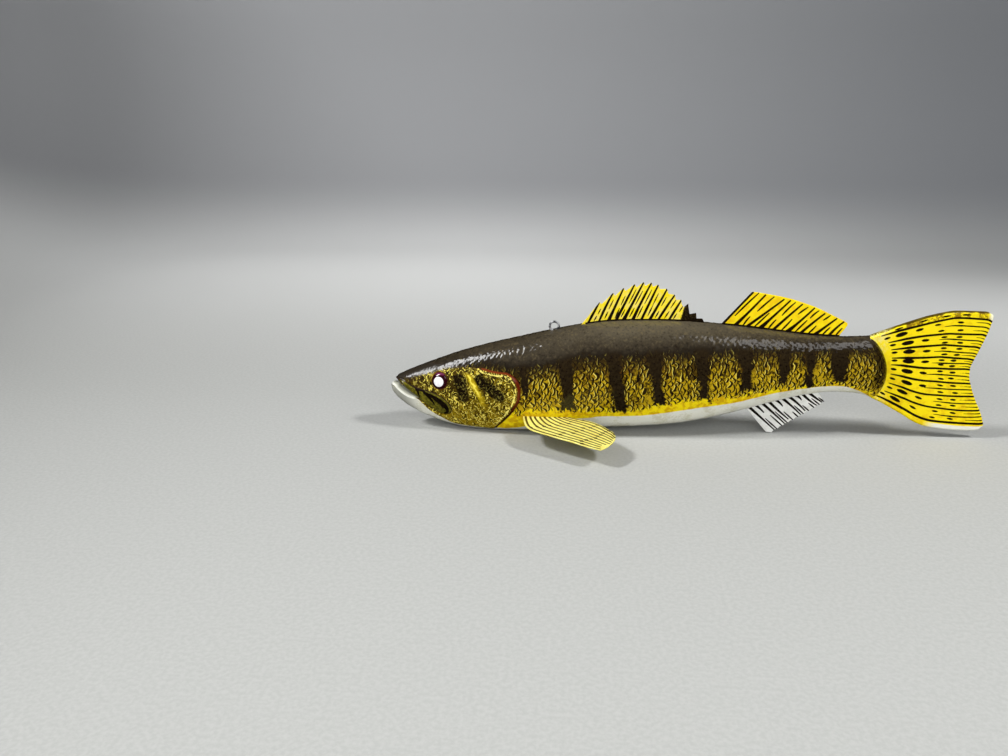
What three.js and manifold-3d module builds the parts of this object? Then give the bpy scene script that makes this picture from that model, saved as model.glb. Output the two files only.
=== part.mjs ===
// Carved and painted wooden fish decoy. The body and its tail fin are one piece of wood; the sheet-metal
// fins stand in sawn slots, the glass eyes in shallow sockets and a steel screw eye in the back.
// Millimetres. +X runs from snout to tail, +Z is up, and the belly rests on z = 0 at y = 0.
import * as THREE from 'three';
import { mergeVertices } from 'three/addons/utils/BufferGeometryUtils.js';
import Module from 'manifold-3d';

const wasm = await Module();
wasm.setup();

// Driving dimensions of the carved body
const LENGTH = 420; // lower jaw tip to the tail's rear corner
const CROWN = 81.6; // table to the highest point of the back
const WIDTH = 48; // across the widest part of the body
const SECTION_POWER = 2.2; // 2 makes elliptical sections, more makes them squarer
const MOUTH_DEPTH = 4.5; // from the lips in to the wood behind the open mouth
const MOUTH_WOOD = 1; // least thickness of that wood
const GROOVE_RADIUS = 1.1; // knife line round the gill cover
const GILL_STEP = 0.9; // how far the gill cover stands above the shoulder behind it
const GOUGE_RADIUS = 5; // gouge that cuts the shoulder down
const FINE_GROOVE_RADIUS = 0.8; // knife lines on cheek and upper lip
const END_ROUNDING = 6; // rounding of the body's end where the tail fin leaves it
const END_BULGE = 9.2; // how far the middle of that end reaches past its top and bottom
const END_LEAN = 6.9; // how far the bottom of that end reaches past its top
const TAIL_ROOT_THICKNESS = 6;
const TAIL_EDGE_THICKNESS = 3.4;

// Sheet-metal fins
const SHEET = 0.9; // thickness of the sheet
const SLOT_CLEARANCE = 0.3; // on every side of a part let into the wood
const SLOT_DEPTH = 5; // how far a fin goes into the wood
const SPINY_FIN_LENGTH = 85;
const SPINY_FIN_HEIGHT = 27;
const SPINES = 13;
const SPINE_NOTCH = 2.8; // how far the membrane dips between two spines
const SOFT_FIN_LENGTH = 81;
const SOFT_FIN_HEIGHT = 25.1;
const ANAL_FIN_LENGTH = 46;
const ANAL_FIN_TEETH = 10;
const ANAL_FIN_TOOTH = 1.1; // how far the ray ends stand out of the fin's edge
const ANAL_FIN_LIFT = 0.2; // between the fin's tip and the table
const ANAL_FIN_ROUNDING = 0.4; // how much higher the front of the tip's rounding stands
const ANAL_FIN_DROP = 7; // from the belly down to the rear corner
const PECTORAL_ROOT = 33;
const PECTORAL_LENGTH = 63.4; // along the fish, front of the root to the tip
const PECTORAL_SPAN = 53.7; // out from the root line
const PECTORAL_DROOP = 2; // degrees below level
const PECTORAL_SLOT_RUNOUT = 3; // how far the sawn slot runs on behind the root

// Glass eyes and screw eye
const EYE_DIAMETER = 12;
const EYE_DOME = 2.6; // height of the glass above the socket's rim
const EYE_SEAT = 2; // depth of the glass below the rim
const RING_DIAMETER = 8; // outside of the screw eye's ring
const WIRE = 1.6; // wire of the ring and the shank
const SHANK = 11; // length of shank in the wood
const RING_SINK = 1.6; // how far the ring is screwed down into the back

// Where things sit, as shares of the length from the lower jaw's tip
const SPINY_FIN_AT = 0.3255;
const SOFT_FIN_AT = 0.5548;
const ANAL_FIN_AT = 0.6062;
const PECTORAL_AT = 0.231;
const PECTORAL_ROOT_HEIGHT = 0.184; // share of CROWN
const SCREW_EYE_AT = 0.2802;
const EYE_AT = 0.0893;
const EYE_HEIGHT = 0.466; // share of CROWN

// The carved form: share of LENGTH from the jaw tip, then back and belly as shares of CROWN,
// then half width as a share of WIDTH / 2. Below zero the belly is cut flat by the table.
const FORM = [
  [0.0, 0.368, 0.368, 0.0],
  [0.0024, 0.395, 0.329, 0.1],
  [0.0095, 0.448, 0.275, 0.208],
  [0.0238, 0.493, 0.21, 0.325],
  [0.0476, 0.547, 0.138, 0.442],
  [0.0833, 0.62, 0.06, 0.58],
  [0.119, 0.687, 0.011, 0.708],
  [0.1667, 0.76, -0.015, 0.854],
  [0.2262, 0.836, -0.016, 0.947],
  [0.2857, 0.91, -0.009, 0.983],
  [0.3571, 0.979, 0.03, 1.0],
  [0.4286, 1.0, 0.053, 0.983],
  [0.5, 0.996, 0.095, 0.925],
  [0.5714, 0.969, 0.179, 0.825],
  [0.6429, 0.93, 0.291, 0.675],
  [0.7024, 0.897, 0.37, 0.537],
  [0.75, 0.887, 0.399, 0.433],
  [0.7854, 0.894, 0.37, 0.376],
  [0.8, 0.9, 0.333, 0.354],
];
const BODY_END = 0.7854; // share of LENGTH where the end's rounding starts
const BULGE_START = 0.7262; // share of LENGTH where the sections start to bow to the rear
const MOUTH_ROWS = [2, 7]; // the rows of FORM that the wood behind the open mouth follows

// Knife lines on the side of the head: share of LENGTH, share of CROWN
const GILL_LINE = [
  [0.162, 0.597], [0.1929, 0.575], [0.2143, 0.532], [0.2238, 0.441],
  [0.2229, 0.347], [0.216, 0.27], [0.2036, 0.172], [0.1889, 0.09],
];
const CHEEK_LINE = [
  [0.1276, 0.566], [0.1417, 0.499], [0.1505, 0.441], [0.1588, 0.382],
  [0.1638, 0.301], [0.16, 0.223], [0.1543, 0.147],
];
const LIP_LINE = [
  [0.0538, 0.286], [0.071, 0.225], [0.0879, 0.163], [0.0988, 0.159], [0.1076, 0.208],
  [0.1014, 0.262], [0.0893, 0.304], [0.0721, 0.36], [0.0543, 0.37], [0.0364, 0.396],
];
// The open mouth seen from the side, from the corner round the lower rim, the front and the upper lip
const MOUTH = [
  [0.0538, 0.278], [0.0355, 0.2745], [0.0229, 0.296], [0.0121, 0.331], [0.0012, 0.374],
  [-0.012, 0.38], [-0.012, 0.46], [0.0107, 0.439], [0.02, 0.403], [0.031, 0.366], [0.0452, 0.319],
];

// Tail fin seen from the side: its upper and lower edge from the root to the rear, and its rear edge from
// the bottom to the top, as shares of LENGTH and CROWN
const TAIL_TOP = [
  [0.7667, 0.8], [0.7976, 0.9], [0.8274, 0.966], [0.8571, 1.026], [0.8876, 1.081], [0.918, 1.119],
  [0.9333, 1.126], [0.9643, 1.124], [0.9773, 1.12], [0.9855, 1.098],
];
const TAIL_BOTTOM = [
  [0.7667, 0.5], [0.8119, 0.349], [0.8276, 0.308], [0.8629, 0.207], [0.8808, 0.15], [0.8981, 0.11],
  [0.915, 0.089], [0.9483, 0.07], [0.981, 0.067], [0.9938, 0.077],
];
const TAIL_REAR = [
  [0.9993, 0.11], [0.9998, 0.137], [0.9921, 0.238], [0.9776, 0.381], [0.9664, 0.523], [0.9643, 0.594],
  [0.9648, 0.657], [0.9736, 0.79], [0.9829, 0.947], [0.987, 1.069],
];
const TAIL_WEDGE = [0.75, 1.01]; // shares of LENGTH between which the tail fin's thickness is cut

// Outlines of the fins as shares of their own length and height
const SPINY_ARCH = [
  [0, 0], [0.138, 0.515], [0.245, 0.733], [0.33, 0.85], [0.415, 0.945], [0.53, 1.0], [0.604, 0.94],
  [0.67, 0.852], [0.79, 0.58], [0.846, 0.46], [0.91, 0.24], [0.966, 0.1], [1, 0],
];
const SPINE_CROWDING = 0.83; // below 1 the spines stand closer together to the rear
const MEMBRANE_DIP = 0.28; // where between two spines the membrane is lowest
const SOFT_EDGE = [
  [1.06, 0.33], [1.02, 0.45], [0.94, 0.57], [0.8, 0.76], [0.69, 0.86], [0.57, 0.935], [0.44, 0.975],
  [0.28, 1.0], [0.238, 0.99],
];
const ANAL_FIN_FRONT = 0.345; // where the rounding of the tip starts, then the tip and the rear corner
const ANAL_FIN_TIP = 0.435;
const ANAL_FIN_REAR = 1.19;
const ANAL_FIN_VALLEY = 0.65; // how far between two teeth the valley stands
// Along the root line and out from it, as shares of PECTORAL_LENGTH and PECTORAL_SPAN
const PADDLE = [
  [0.01, 0.123], [0.041, 0.316], [0.099, 0.437], [0.176, 0.512], [0.305, 0.617], [0.415, 0.706], [0.523, 0.78],
  [0.626, 0.863], [0.729, 0.942], [0.832, 1.0], [0.886, 0.942], [0.942, 0.844], [0.99, 0.716], [1.0, 0.607],
  [0.982, 0.497], [0.943, 0.427], [0.882, 0.306], [0.806, 0.194], [0.732, 0.118], [0.646, 0.067],
];

// How fine the forms are cut
const RINGS = 46;
const RING_CROWDING = 1.35; // above 1 the rings stand closer together at the snout
const END_TURNS = [25, 50, 70, 84]; // degrees round the end's rounding
const SIDES = 32;
const CUT_SIDES = 6;
const TAIL_COLUMNS = 12;
const TAIL_ROWS = 16;
const ROOT_STEPS = 8;
const EYE_STEPS = 6;
const EYE_SIDES = 24;
const RING_STEPS = 20;
const WIRE_SIDES = 8;
const SHANK_SIDES = 10;

const LEFT = -1; // the fish's left side faces -Y
const RIGHT = 1;

const atLength = (share) => (share - 0.5) * LENGTH;
const atHeight = (share) => share * CROWN;
const degrees = (angle) => (angle * Math.PI) / 180;
const lerp = THREE.MathUtils.lerp;

// A smooth curve through points in rising x, as a function of x
function curveThrough(points) {
  const xs = points.map(([x]) => x);
  const ys = points.map(([, y]) => y);
  const last = xs.length - 1;
  const secants = xs.slice(1).map((x, i) => (ys[i + 1] - ys[i]) / (x - xs[i]));
  const slopes = xs.map((x, i) => {
    if (i === 0) return secants[0];
    if (i === last) return secants[last - 1];
    const before = x - xs[i - 1];
    const after = xs[i + 1] - x;
    return (after * secants[i - 1] + before * secants[i]) / (before + after);
  });
  return (x) => {
    const i = Math.min(Math.max(xs.findIndex((limit) => limit > x) - 1, 0), last - 1);
    const at = x >= xs[last] ? last - 1 : i;
    const step = xs[at + 1] - xs[at];
    const t = Math.min(Math.max((x - xs[at]) / step, 0), 1);
    const rise = (1 + 2 * t) * (1 - t) ** 2 * ys[at] + t * t * (3 - 2 * t) * ys[at + 1];
    return rise + step * (t * (1 - t) ** 2 * slopes[at] - t * t * (1 - t) * slopes[at + 1]);
  };
}

const back = curveThrough(FORM.map(([at, top]) => [atLength(at), atHeight(top)]));
const belly = curveThrough(FORM.map(([at, , bottom]) => [atLength(at), atHeight(bottom)]));
const halfWidth = curveThrough(FORM.map(([at, , , half]) => [atLength(at), (half * WIDTH) / 2]));

// Distance from the middle plane to the side of the body
function sideAt(x, z) {
  const middle = (back(x) + belly(x)) / 2;
  const half = (back(x) - belly(x)) / 2;
  const share = Math.min(Math.abs(z - middle) / half, 1);
  return halfWidth(x) * (1 - share ** SECTION_POWER) ** (1 / SECTION_POWER);
}

// Outward direction of the body's side at a point
function sideNormal(x, z, hand) {
  const reach = 1;
  const along = (sideAt(x + reach, z) - sideAt(x - reach, z)) / (2 * reach);
  const upward = (sideAt(x, z + reach) - sideAt(x, z - reach)) / (2 * reach);
  return new THREE.Vector3(-along, hand, -upward).normalize();
}

// A closed solid from a three.js geometry
function solid(geometry) {
  const bare = geometry.index ? geometry.toNonIndexed() : geometry.clone();
  bare.deleteAttribute('normal');
  bare.deleteAttribute('uv');
  const merged = mergeVertices(bare, 1e-4);
  const corners = merged.index.array;
  const kept = [];
  for (let i = 0; i < corners.length; i += 3) {
    const [a, b, c] = [corners[i], corners[i + 1], corners[i + 2]];
    if (a !== b && b !== c && c !== a) kept.push(a, b, c);
  }
  return new wasm.Manifold(new wasm.Mesh({
    numProp: 3,
    vertProperties: new Float32Array(merged.attributes.position.array),
    triVerts: new Uint32Array(kept),
  }));
}

function geometryOf(manifold) {
  const mesh = manifold.getMesh();
  const geometry = new THREE.BufferGeometry();
  geometry.setAttribute('position', new THREE.BufferAttribute(new Float32Array(mesh.vertProperties), 3));
  geometry.setIndex(new THREE.BufferAttribute(new Uint32Array(mesh.triVerts), 1));
  geometry.computeVertexNormals();
  return geometry;
}

// A skin over rings of points: neighbouring rings are joined, and both ends are closed to a point
function skin(rings, firstPoint, lastPoint) {
  const points = [firstPoint, ...rings.flat(), lastPoint];
  const around = rings[0].length;
  const lastIndex = points.length - 1;
  const faces = [];
  for (let j = 0; j < around; j += 1) {
    const next = (j + 1) % around;
    faces.push(0, 1 + next, 1 + j);
    for (let i = 0; i < rings.length - 1; i += 1) {
      const a = 1 + i * around;
      const b = a + around;
      faces.push(a + j, a + next, b + next, a + j, b + next, b + j);
    }
    const end = 1 + (rings.length - 1) * around;
    faces.push(lastIndex, end + j, end + next);
  }
  const geometry = new THREE.BufferGeometry();
  const flat = points.flatMap((point) => point.toArray());
  geometry.setAttribute('position', new THREE.Float32BufferAttribute(flat, 3));
  geometry.setIndex(faces);
  return geometry;
}

// A flat outline in X and Z, given its thickness along Y about the middle plane
function plate(outline, thickness) {
  const shape = new THREE.Shape(outline.map(([x, z]) => new THREE.Vector2(x, z)));
  const geometry = new THREE.ExtrudeGeometry(shape, { depth: thickness, bevelEnabled: false });
  geometry.rotateX(Math.PI / 2);
  geometry.translate(0, thickness / 2, 0);
  return geometry;
}

const fromShares = (points) => points.map(([along, up]) => [atLength(along), atHeight(up)]);

// One ring of the body at x; scale narrows it and reach carries it past x
function ring(x, scale, reach) {
  const at = x + reach;
  const middle = (back(at) + belly(at)) / 2;
  const half = (back(at) - belly(at)) / 2;
  const bow = THREE.MathUtils.smoothstep(x, atLength(BULGE_START), atLength(BODY_END));
  return Array.from({ length: SIDES }, (_, j) => {
    const angle = (j / SIDES) * 2 * Math.PI;
    const across = Math.sign(Math.cos(angle)) * Math.abs(Math.cos(angle)) ** (2 / SECTION_POWER);
    const upward = Math.sign(Math.sin(angle)) * Math.abs(Math.sin(angle)) ** (2 / SECTION_POWER);
    const along = at + bow * (END_BULGE * (1 - upward * upward) + (END_LEAN * (1 - upward)) / 2);
    return new THREE.Vector3(along, across * scale * halfWidth(at), middle + upward * half);
  });
}

// The carved body without its tail fin
function bodyForm() {
  const start = atLength(0);
  const end = atLength(BODY_END);
  const rings = [];
  for (let i = 1; i <= RINGS; i += 1) {
    rings.push(ring(start + (end - start) * (i / RINGS) ** RING_CROWDING, 1, 0));
  }
  for (const turn of END_TURNS) {
    const angle = degrees(turn);
    rings.push(ring(end, Math.cos(angle), END_ROUNDING * Math.sin(angle)));
  }
  const snout = new THREE.Vector3(start, 0, back(start));
  const last = end + END_ROUNDING;
  const tip = new THREE.Vector3(last + END_BULGE + END_LEAN / 2, 0, (back(last) + belly(last)) / 2);
  return solid(skin(rings, snout, tip));
}

// The tail fin: a slab that thins from the root to the rear edge
function tailForm() {
  const top = new THREE.SplineCurve(fromShares(TAIL_TOP).map(([x, z]) => new THREE.Vector2(x, z)));
  const bottom = new THREE.SplineCurve(fromShares(TAIL_BOTTOM).map(([x, z]) => new THREE.Vector2(x, z)));
  const rear = new THREE.SplineCurve(fromShares(TAIL_REAR).map(([x, z]) => new THREE.Vector2(x, z)));
  const edge = [
    ...bottom.getPoints(TAIL_COLUMNS),
    ...rear.getPoints(TAIL_ROWS),
    ...top.getPoints(TAIL_COLUMNS).reverse(),
  ];
  const outline = edge.map((point) => [point.x, point.y]);
  const slab = plate(outline, TAIL_ROOT_THICKNESS);
  const [front, behind] = TAIL_WEDGE.map(atLength);
  const side = new THREE.Shape([
    new THREE.Vector2(front, TAIL_ROOT_THICKNESS / 2),
    new THREE.Vector2(front, -TAIL_ROOT_THICKNESS / 2),
    new THREE.Vector2(atLength(BODY_END), -TAIL_ROOT_THICKNESS / 2),
    new THREE.Vector2(behind, -TAIL_EDGE_THICKNESS / 2),
    new THREE.Vector2(behind, TAIL_EDGE_THICKNESS / 2),
    new THREE.Vector2(atLength(BODY_END), TAIL_ROOT_THICKNESS / 2),
  ]);
  const wedge = new THREE.ExtrudeGeometry(side, { depth: 2 * CROWN, bevelEnabled: false });
  return solid(slab).intersect(solid(wedge));
}

// The open mouth: a wedge cut in from the lips, with the wood left standing behind it
function mouthCut() {
  const wedge = solid(plate(fromShares(MOUTH), WIDTH));
  const inside = FORM.slice(...MOUTH_ROWS).map(([at]) => atLength(at) + MOUTH_DEPTH);
  const half = (x) => Math.max(halfWidth(x) - MOUTH_DEPTH, MOUTH_WOOD / 2);
  const left = inside.map((x) => [x, LEFT * half(x)]);
  const right = inside.map((x) => [x, RIGHT * half(x)]).reverse();
  const plan = new THREE.Shape([...left, ...right].map(([x, y]) => new THREE.Vector2(x, y)));
  const core = new THREE.ExtrudeGeometry(plan, { depth: CROWN, bevelEnabled: false });
  return wedge.subtract(solid(core));
}

// A cut along a line on the side of the head: a rod that dips to a depth below the surface
function sideCut(line, radius, depth, behind, hand) {
  const points = fromShares(line).map(([along, z]) => {
    const x = along + behind;
    const surface = new THREE.Vector3(x, hand * sideAt(x, z), z);
    return surface.addScaledVector(sideNormal(x, z, hand), radius - depth);
  });
  const path = new THREE.CatmullRomCurve3(points, false, 'centripetal');
  const section = new THREE.Shape();
  section.absarc(0, 0, radius, 0, 2 * Math.PI, false);
  const steps = 2 * line.length;
  const settings = { steps, curveSegments: CUT_SIDES, bevelEnabled: false, extrudePath: path };
  return solid(new THREE.ExtrudeGeometry(section, settings));
}

// Turns a shape made about the Z axis to look out of the side of the head at the eye
function placeAtEye(geometry, hand) {
  const x = atLength(EYE_AT);
  const z = atHeight(EYE_HEIGHT);
  const outward = sideNormal(x, z, hand);
  const turn = new THREE.Quaternion().setFromUnitVectors(new THREE.Vector3(0, 0, 1), outward);
  geometry.applyQuaternion(turn);
  geometry.translate(x, hand * sideAt(x, z), z);
  return geometry;
}

// A glass eye: a short cylinder in its socket under a domed front
function glassEye(hand) {
  const radius = EYE_DIAMETER / 2;
  const dome = Array.from({ length: EYE_STEPS + 1 }, (_, i) => {
    const angle = degrees((90 * i) / EYE_STEPS);
    return new THREE.Vector2(radius * Math.cos(angle), EYE_DOME * Math.sin(angle));
  });
  dome[EYE_STEPS].x = 0;
  const profile = [new THREE.Vector2(0, -EYE_SEAT), new THREE.Vector2(radius, -EYE_SEAT), ...dome];
  const geometry = new THREE.LatheGeometry(profile, EYE_SIDES);
  geometry.rotateX(Math.PI / 2);
  return placeAtEye(geometry, hand);
}

function eyeSocket(hand) {
  const radius = EYE_DIAMETER / 2 + SLOT_CLEARANCE;
  const depth = EYE_SEAT + SLOT_CLEARANCE;
  const rise = EYE_DIAMETER / 2;
  const geometry = new THREE.CylinderGeometry(radius, radius, depth + rise, EYE_SIDES);
  geometry.rotateX(Math.PI / 2);
  geometry.translate(0, 0, (rise - depth) / 2);
  return solid(placeAtEye(geometry, hand));
}

// A screw eye: a ring that faces the side of the fish, on a shank; grown by extra on every side
function screwEye(extra) {
  const x = atLength(SCREW_EYE_AT);
  const ringRadius = (RING_DIAMETER - WIRE) / 2;
  const ringHeight = back(x) + RING_DIAMETER / 2 - RING_SINK;
  const wireRadius = WIRE / 2 + extra;
  const ringGeometry = new THREE.TorusGeometry(ringRadius, wireRadius, WIRE_SIDES, RING_STEPS);
  ringGeometry.rotateX(Math.PI / 2);
  ringGeometry.translate(x, 0, ringHeight);
  const shankTop = ringHeight - ringRadius;
  const shankLength = SHANK + extra;
  const shank = new THREE.CylinderGeometry(wireRadius, wireRadius, shankLength, SHANK_SIDES);
  shank.rotateX(Math.PI / 2);
  shank.translate(x, 0, shankTop - shankLength / 2);
  return solid(ringGeometry).add(solid(shank));
}

// A row of points along the body's edge, moved into the wood by depth
function rootLine(edge, from, to, depth) {
  return Array.from({ length: ROOT_STEPS + 1 }, (_, i) => {
    const x = lerp(from, to, i / ROOT_STEPS);
    return [x, edge(x) + depth];
  });
}

// The slot for a fin that stands in the middle plane, open through the surface of the body
function middleSlot(edge, from, to, inward) {
  const [first, last] = [from - SLOT_CLEARANCE, to + SLOT_CLEARANCE];
  const deep = rootLine(edge, first, last, inward * (SLOT_DEPTH + SLOT_CLEARANCE));
  const open = rootLine(edge, first, last, -inward * SLOT_DEPTH).reverse();
  return solid(plate([...deep, ...open], SHEET + 2 * SLOT_CLEARANCE));
}

// Spiny dorsal fin: an arched row of spines that lean back, the membrane dipping behind each tip
const spinyStart = atLength(SPINY_FIN_AT);
const spinyEnd = spinyStart + SPINY_FIN_LENGTH;
const spinyArch = curveThrough(SPINY_ARCH);

function spinyFin() {
  const [first, last] = [SPINY_ARCH[1][0], SPINY_ARCH[SPINY_ARCH.length - 2][0]];
  const tipAt = (i) => lerp(first, last, (i / (SPINES - 1)) ** SPINE_CROWDING);
  const onArch = (share, dip) => {
    const x = lerp(spinyStart, spinyEnd, share);
    const rise = spinyArch(share) * SPINY_FIN_HEIGHT;
    return [x, back(x) + Math.max(rise - dip, rise / 2)];
  };
  const edge = [];
  for (let i = 0; i < SPINES; i += 1) {
    edge.push(onArch(tipAt(i), 0));
    const next = i + 1 < SPINES ? tipAt(i + 1) : 1;
    edge.push(onArch(lerp(tipAt(i), next, MEMBRANE_DIP), SPINE_NOTCH));
  }
  return plate([
    ...rootLine(back, spinyStart, spinyEnd, -SLOT_DEPTH),
    [spinyEnd, back(spinyEnd)],
    ...edge.reverse(),
    [spinyStart, back(spinyStart)],
  ], SHEET);
}

// Soft dorsal fin: a straight leaning front, a long falling edge and a blunt rear corner
const softStart = atLength(SOFT_FIN_AT);
const softEnd = softStart + SOFT_FIN_LENGTH;

function softFin() {
  const upper = SOFT_EDGE.map(([at, rise]) => {
    const x = lerp(softStart, softEnd, at);
    return [x, back(Math.min(x, softEnd)) + rise * SOFT_FIN_HEIGHT];
  });
  return plate([
    ...rootLine(back, softStart, softEnd, -SLOT_DEPTH),
    [softEnd, back(softEnd)],
    ...upper,
    [softStart, back(softStart)],
  ], SHEET);
}

// Anal fin: hangs under the body, its ray ends standing out as teeth along the lower edge
const analStart = atLength(ANAL_FIN_AT);
const analEnd = analStart + ANAL_FIN_LENGTH;

function analFin() {
  const tip = [lerp(analStart, analEnd, ANAL_FIN_TIP), ANAL_FIN_LIFT];
  const rear = [lerp(analStart, analEnd, ANAL_FIN_REAR), belly(analEnd) - ANAL_FIN_DROP];
  const teeth = [];
  for (let i = 1; i <= ANAL_FIN_TEETH; i += 1) {
    const valley = (i - 1 + ANAL_FIN_VALLEY) / ANAL_FIN_TEETH;
    const point = i / ANAL_FIN_TEETH;
    teeth.push([lerp(tip[0], rear[0], valley), lerp(tip[1], rear[1], valley) + ANAL_FIN_TOOTH]);
    teeth.push([lerp(tip[0], rear[0], point), lerp(tip[1], rear[1], point)]);
  }
  const front = [lerp(analStart, analEnd, ANAL_FIN_FRONT), ANAL_FIN_LIFT + ANAL_FIN_ROUNDING];
  return plate([
    [analStart, belly(analStart)], front, tip, ...teeth, [analEnd, belly(analEnd)],
    ...rootLine(belly, analStart, analEnd, SLOT_DEPTH).reverse(),
  ], SHEET);
}

// Carries a plate drawn in the XZ plane to the root of the pectoral fin on one side, where it is swept
// back, out and a little down
function placePectoral(geometry, hand) {
  const x = atLength(PECTORAL_AT);
  const z = atHeight(PECTORAL_ROOT_HEIGHT);
  const out = degrees(90 + PECTORAL_DROOP);
  geometry.rotateX(hand === LEFT ? out : -out);
  geometry.translate(x, hand * sideAt(x, z), z);
  return geometry;
}

// Pectoral fin: a paddle let into the side of the body
function pectoralFin(hand) {
  const blade = PADDLE.map(([along, outward]) => [along * PECTORAL_LENGTH, outward * PECTORAL_SPAN]);
  const tab = [[PECTORAL_ROOT, 0], [PECTORAL_ROOT, -SLOT_DEPTH], [0, -SLOT_DEPTH], [0, 0]];
  return placePectoral(plate([...blade, ...tab], SHEET), hand);
}

function pectoralSlot(hand) {
  const low = -(SLOT_DEPTH + SLOT_CLEARANCE);
  const from = -SLOT_CLEARANCE;
  const to = PECTORAL_ROOT + PECTORAL_SLOT_RUNOUT;
  const outline = [[from, low], [to, low], [to, SLOT_DEPTH], [from, SLOT_DEPTH]];
  return solid(placePectoral(plate(outline, SHEET + 2 * SLOT_CLEARANCE), hand));
}

function carvedBody() {
  const gougeReach = Math.sqrt(GILL_STEP * (2 * GOUGE_RADIUS - GILL_STEP));
  let body = bodyForm().add(tailForm());
  const below = new THREE.BoxGeometry(2 * LENGTH, 2 * WIDTH, CROWN);
  below.translate(0, 0, -CROWN / 2);
  body = body.subtract(solid(below)).subtract(mouthCut());
  for (const hand of [LEFT, RIGHT]) {
    body = body
      .subtract(sideCut(GILL_LINE, GOUGE_RADIUS, GILL_STEP, gougeReach, hand))
      .subtract(sideCut(GILL_LINE, GROOVE_RADIUS, GROOVE_RADIUS, 0, hand))
      .subtract(sideCut(CHEEK_LINE, FINE_GROOVE_RADIUS, FINE_GROOVE_RADIUS, 0, hand))
      .subtract(sideCut(LIP_LINE, FINE_GROOVE_RADIUS, FINE_GROOVE_RADIUS, 0, hand))
      .subtract(eyeSocket(hand))
      .subtract(pectoralSlot(hand));
  }
  return body
    .subtract(middleSlot(back, spinyStart, spinyEnd, -1))
    .subtract(middleSlot(back, softStart, softEnd, -1))
    .subtract(middleSlot(belly, analStart, analEnd, 1))
    .subtract(screwEye(SLOT_CLEARANCE));
}

const painted = (color) => new THREE.MeshStandardMaterial({ color, roughness: 0.35, metalness: 0 });
const finish = {
  body: painted(0x6f5a17),
  yellowFin: painted(0xf2c511),
  whiteFin: painted(0xe9e9e4),
  paleFin: painted(0xd8cc72),
  glass: new THREE.MeshStandardMaterial({ color: 0x3a1c18, roughness: 0.05, metalness: 0 }),
  steel: new THREE.MeshStandardMaterial({ color: 0xb8bcc0, roughness: 0.25, metalness: 1 }),
};

const part = new THREE.Group();

function add(name, geometry, material) {
  const mesh = new THREE.Mesh(geometry, material);
  mesh.name = name;
  part.add(mesh);
}

add('body', geometryOf(carvedBody()), finish.body);
add('spiny_dorsal_fin', spinyFin(), finish.yellowFin);
add('soft_dorsal_fin', softFin(), finish.yellowFin);
add('anal_fin', analFin(), finish.whiteFin);
add('pectoral_fin_left', pectoralFin(LEFT), finish.paleFin);
add('pectoral_fin_right', pectoralFin(RIGHT), finish.paleFin);
add('glass_eye_left', geometryOf(solid(glassEye(LEFT))), finish.glass);
add('glass_eye_right', geometryOf(solid(glassEye(RIGHT))), finish.glass);
add('screw_eye', geometryOf(screwEye(0)), finish.steel);

export default part;
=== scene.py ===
"""Carved and painted wooden fish decoy with sheet-metal fins, glass eyes and a screw eye for the line."""

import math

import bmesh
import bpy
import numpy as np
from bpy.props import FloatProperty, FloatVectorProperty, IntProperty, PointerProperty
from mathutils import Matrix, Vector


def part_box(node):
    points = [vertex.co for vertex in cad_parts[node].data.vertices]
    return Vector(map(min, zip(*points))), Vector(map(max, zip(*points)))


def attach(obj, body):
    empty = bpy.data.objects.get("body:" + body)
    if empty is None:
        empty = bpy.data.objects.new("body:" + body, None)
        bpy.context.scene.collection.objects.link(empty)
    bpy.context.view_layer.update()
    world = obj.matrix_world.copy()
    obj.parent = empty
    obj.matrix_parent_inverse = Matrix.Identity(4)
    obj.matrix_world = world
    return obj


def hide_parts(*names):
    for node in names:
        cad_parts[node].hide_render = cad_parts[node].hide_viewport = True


bl_info = {
    "name": "Fish Decoy",
    "version": (1, 0, 0),
    "blender": (4, 5, 0),
    "location": "3D View > Sidebar > Decoy",
    "description": "Builds a carved and painted fish decoy around its packed solids",
    "category": "Object",
}

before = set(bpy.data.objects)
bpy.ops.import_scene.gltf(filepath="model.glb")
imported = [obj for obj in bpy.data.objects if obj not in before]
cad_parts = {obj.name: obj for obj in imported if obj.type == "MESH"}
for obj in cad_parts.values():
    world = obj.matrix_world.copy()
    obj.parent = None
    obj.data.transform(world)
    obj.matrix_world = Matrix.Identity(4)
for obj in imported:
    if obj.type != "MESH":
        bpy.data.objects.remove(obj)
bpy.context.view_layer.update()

MM = 0.001  # one millimetre in metres
SEED = 7

# The carved form: share of the length from the lower jaw's tip, then back and belly as shares of the
# crown height, then half width as a share of half the width. Below zero the belly is cut flat.
FORM = [
    (0.0, 0.368, 0.368, 0.0),
    (0.0024, 0.395, 0.329, 0.1),
    (0.0095, 0.448, 0.275, 0.208),
    (0.0238, 0.493, 0.21, 0.325),
    (0.0476, 0.547, 0.138, 0.442),
    (0.0833, 0.62, 0.06, 0.58),
    (0.119, 0.687, 0.011, 0.708),
    (0.1667, 0.76, -0.015, 0.854),
    (0.2262, 0.836, -0.016, 0.947),
    (0.2857, 0.91, -0.009, 0.983),
    (0.3571, 0.979, 0.03, 1.0),
    (0.4286, 1.0, 0.053, 0.983),
    (0.5, 0.996, 0.095, 0.925),
    (0.5714, 0.969, 0.179, 0.825),
    (0.6429, 0.93, 0.291, 0.675),
    (0.7024, 0.897, 0.37, 0.537),
    (0.75, 0.887, 0.399, 0.433),
    (0.7854, 0.894, 0.37, 0.376),
    (0.8, 0.9, 0.333, 0.354),
]
BODY_END = 0.7854  # share of the length where the end's rounding starts
BULGE_START = 0.7262  # share of the length where the sections start to bow to the rear
SECTION_POWER = 2.2  # 2 makes elliptical sections, more makes them squarer

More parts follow.
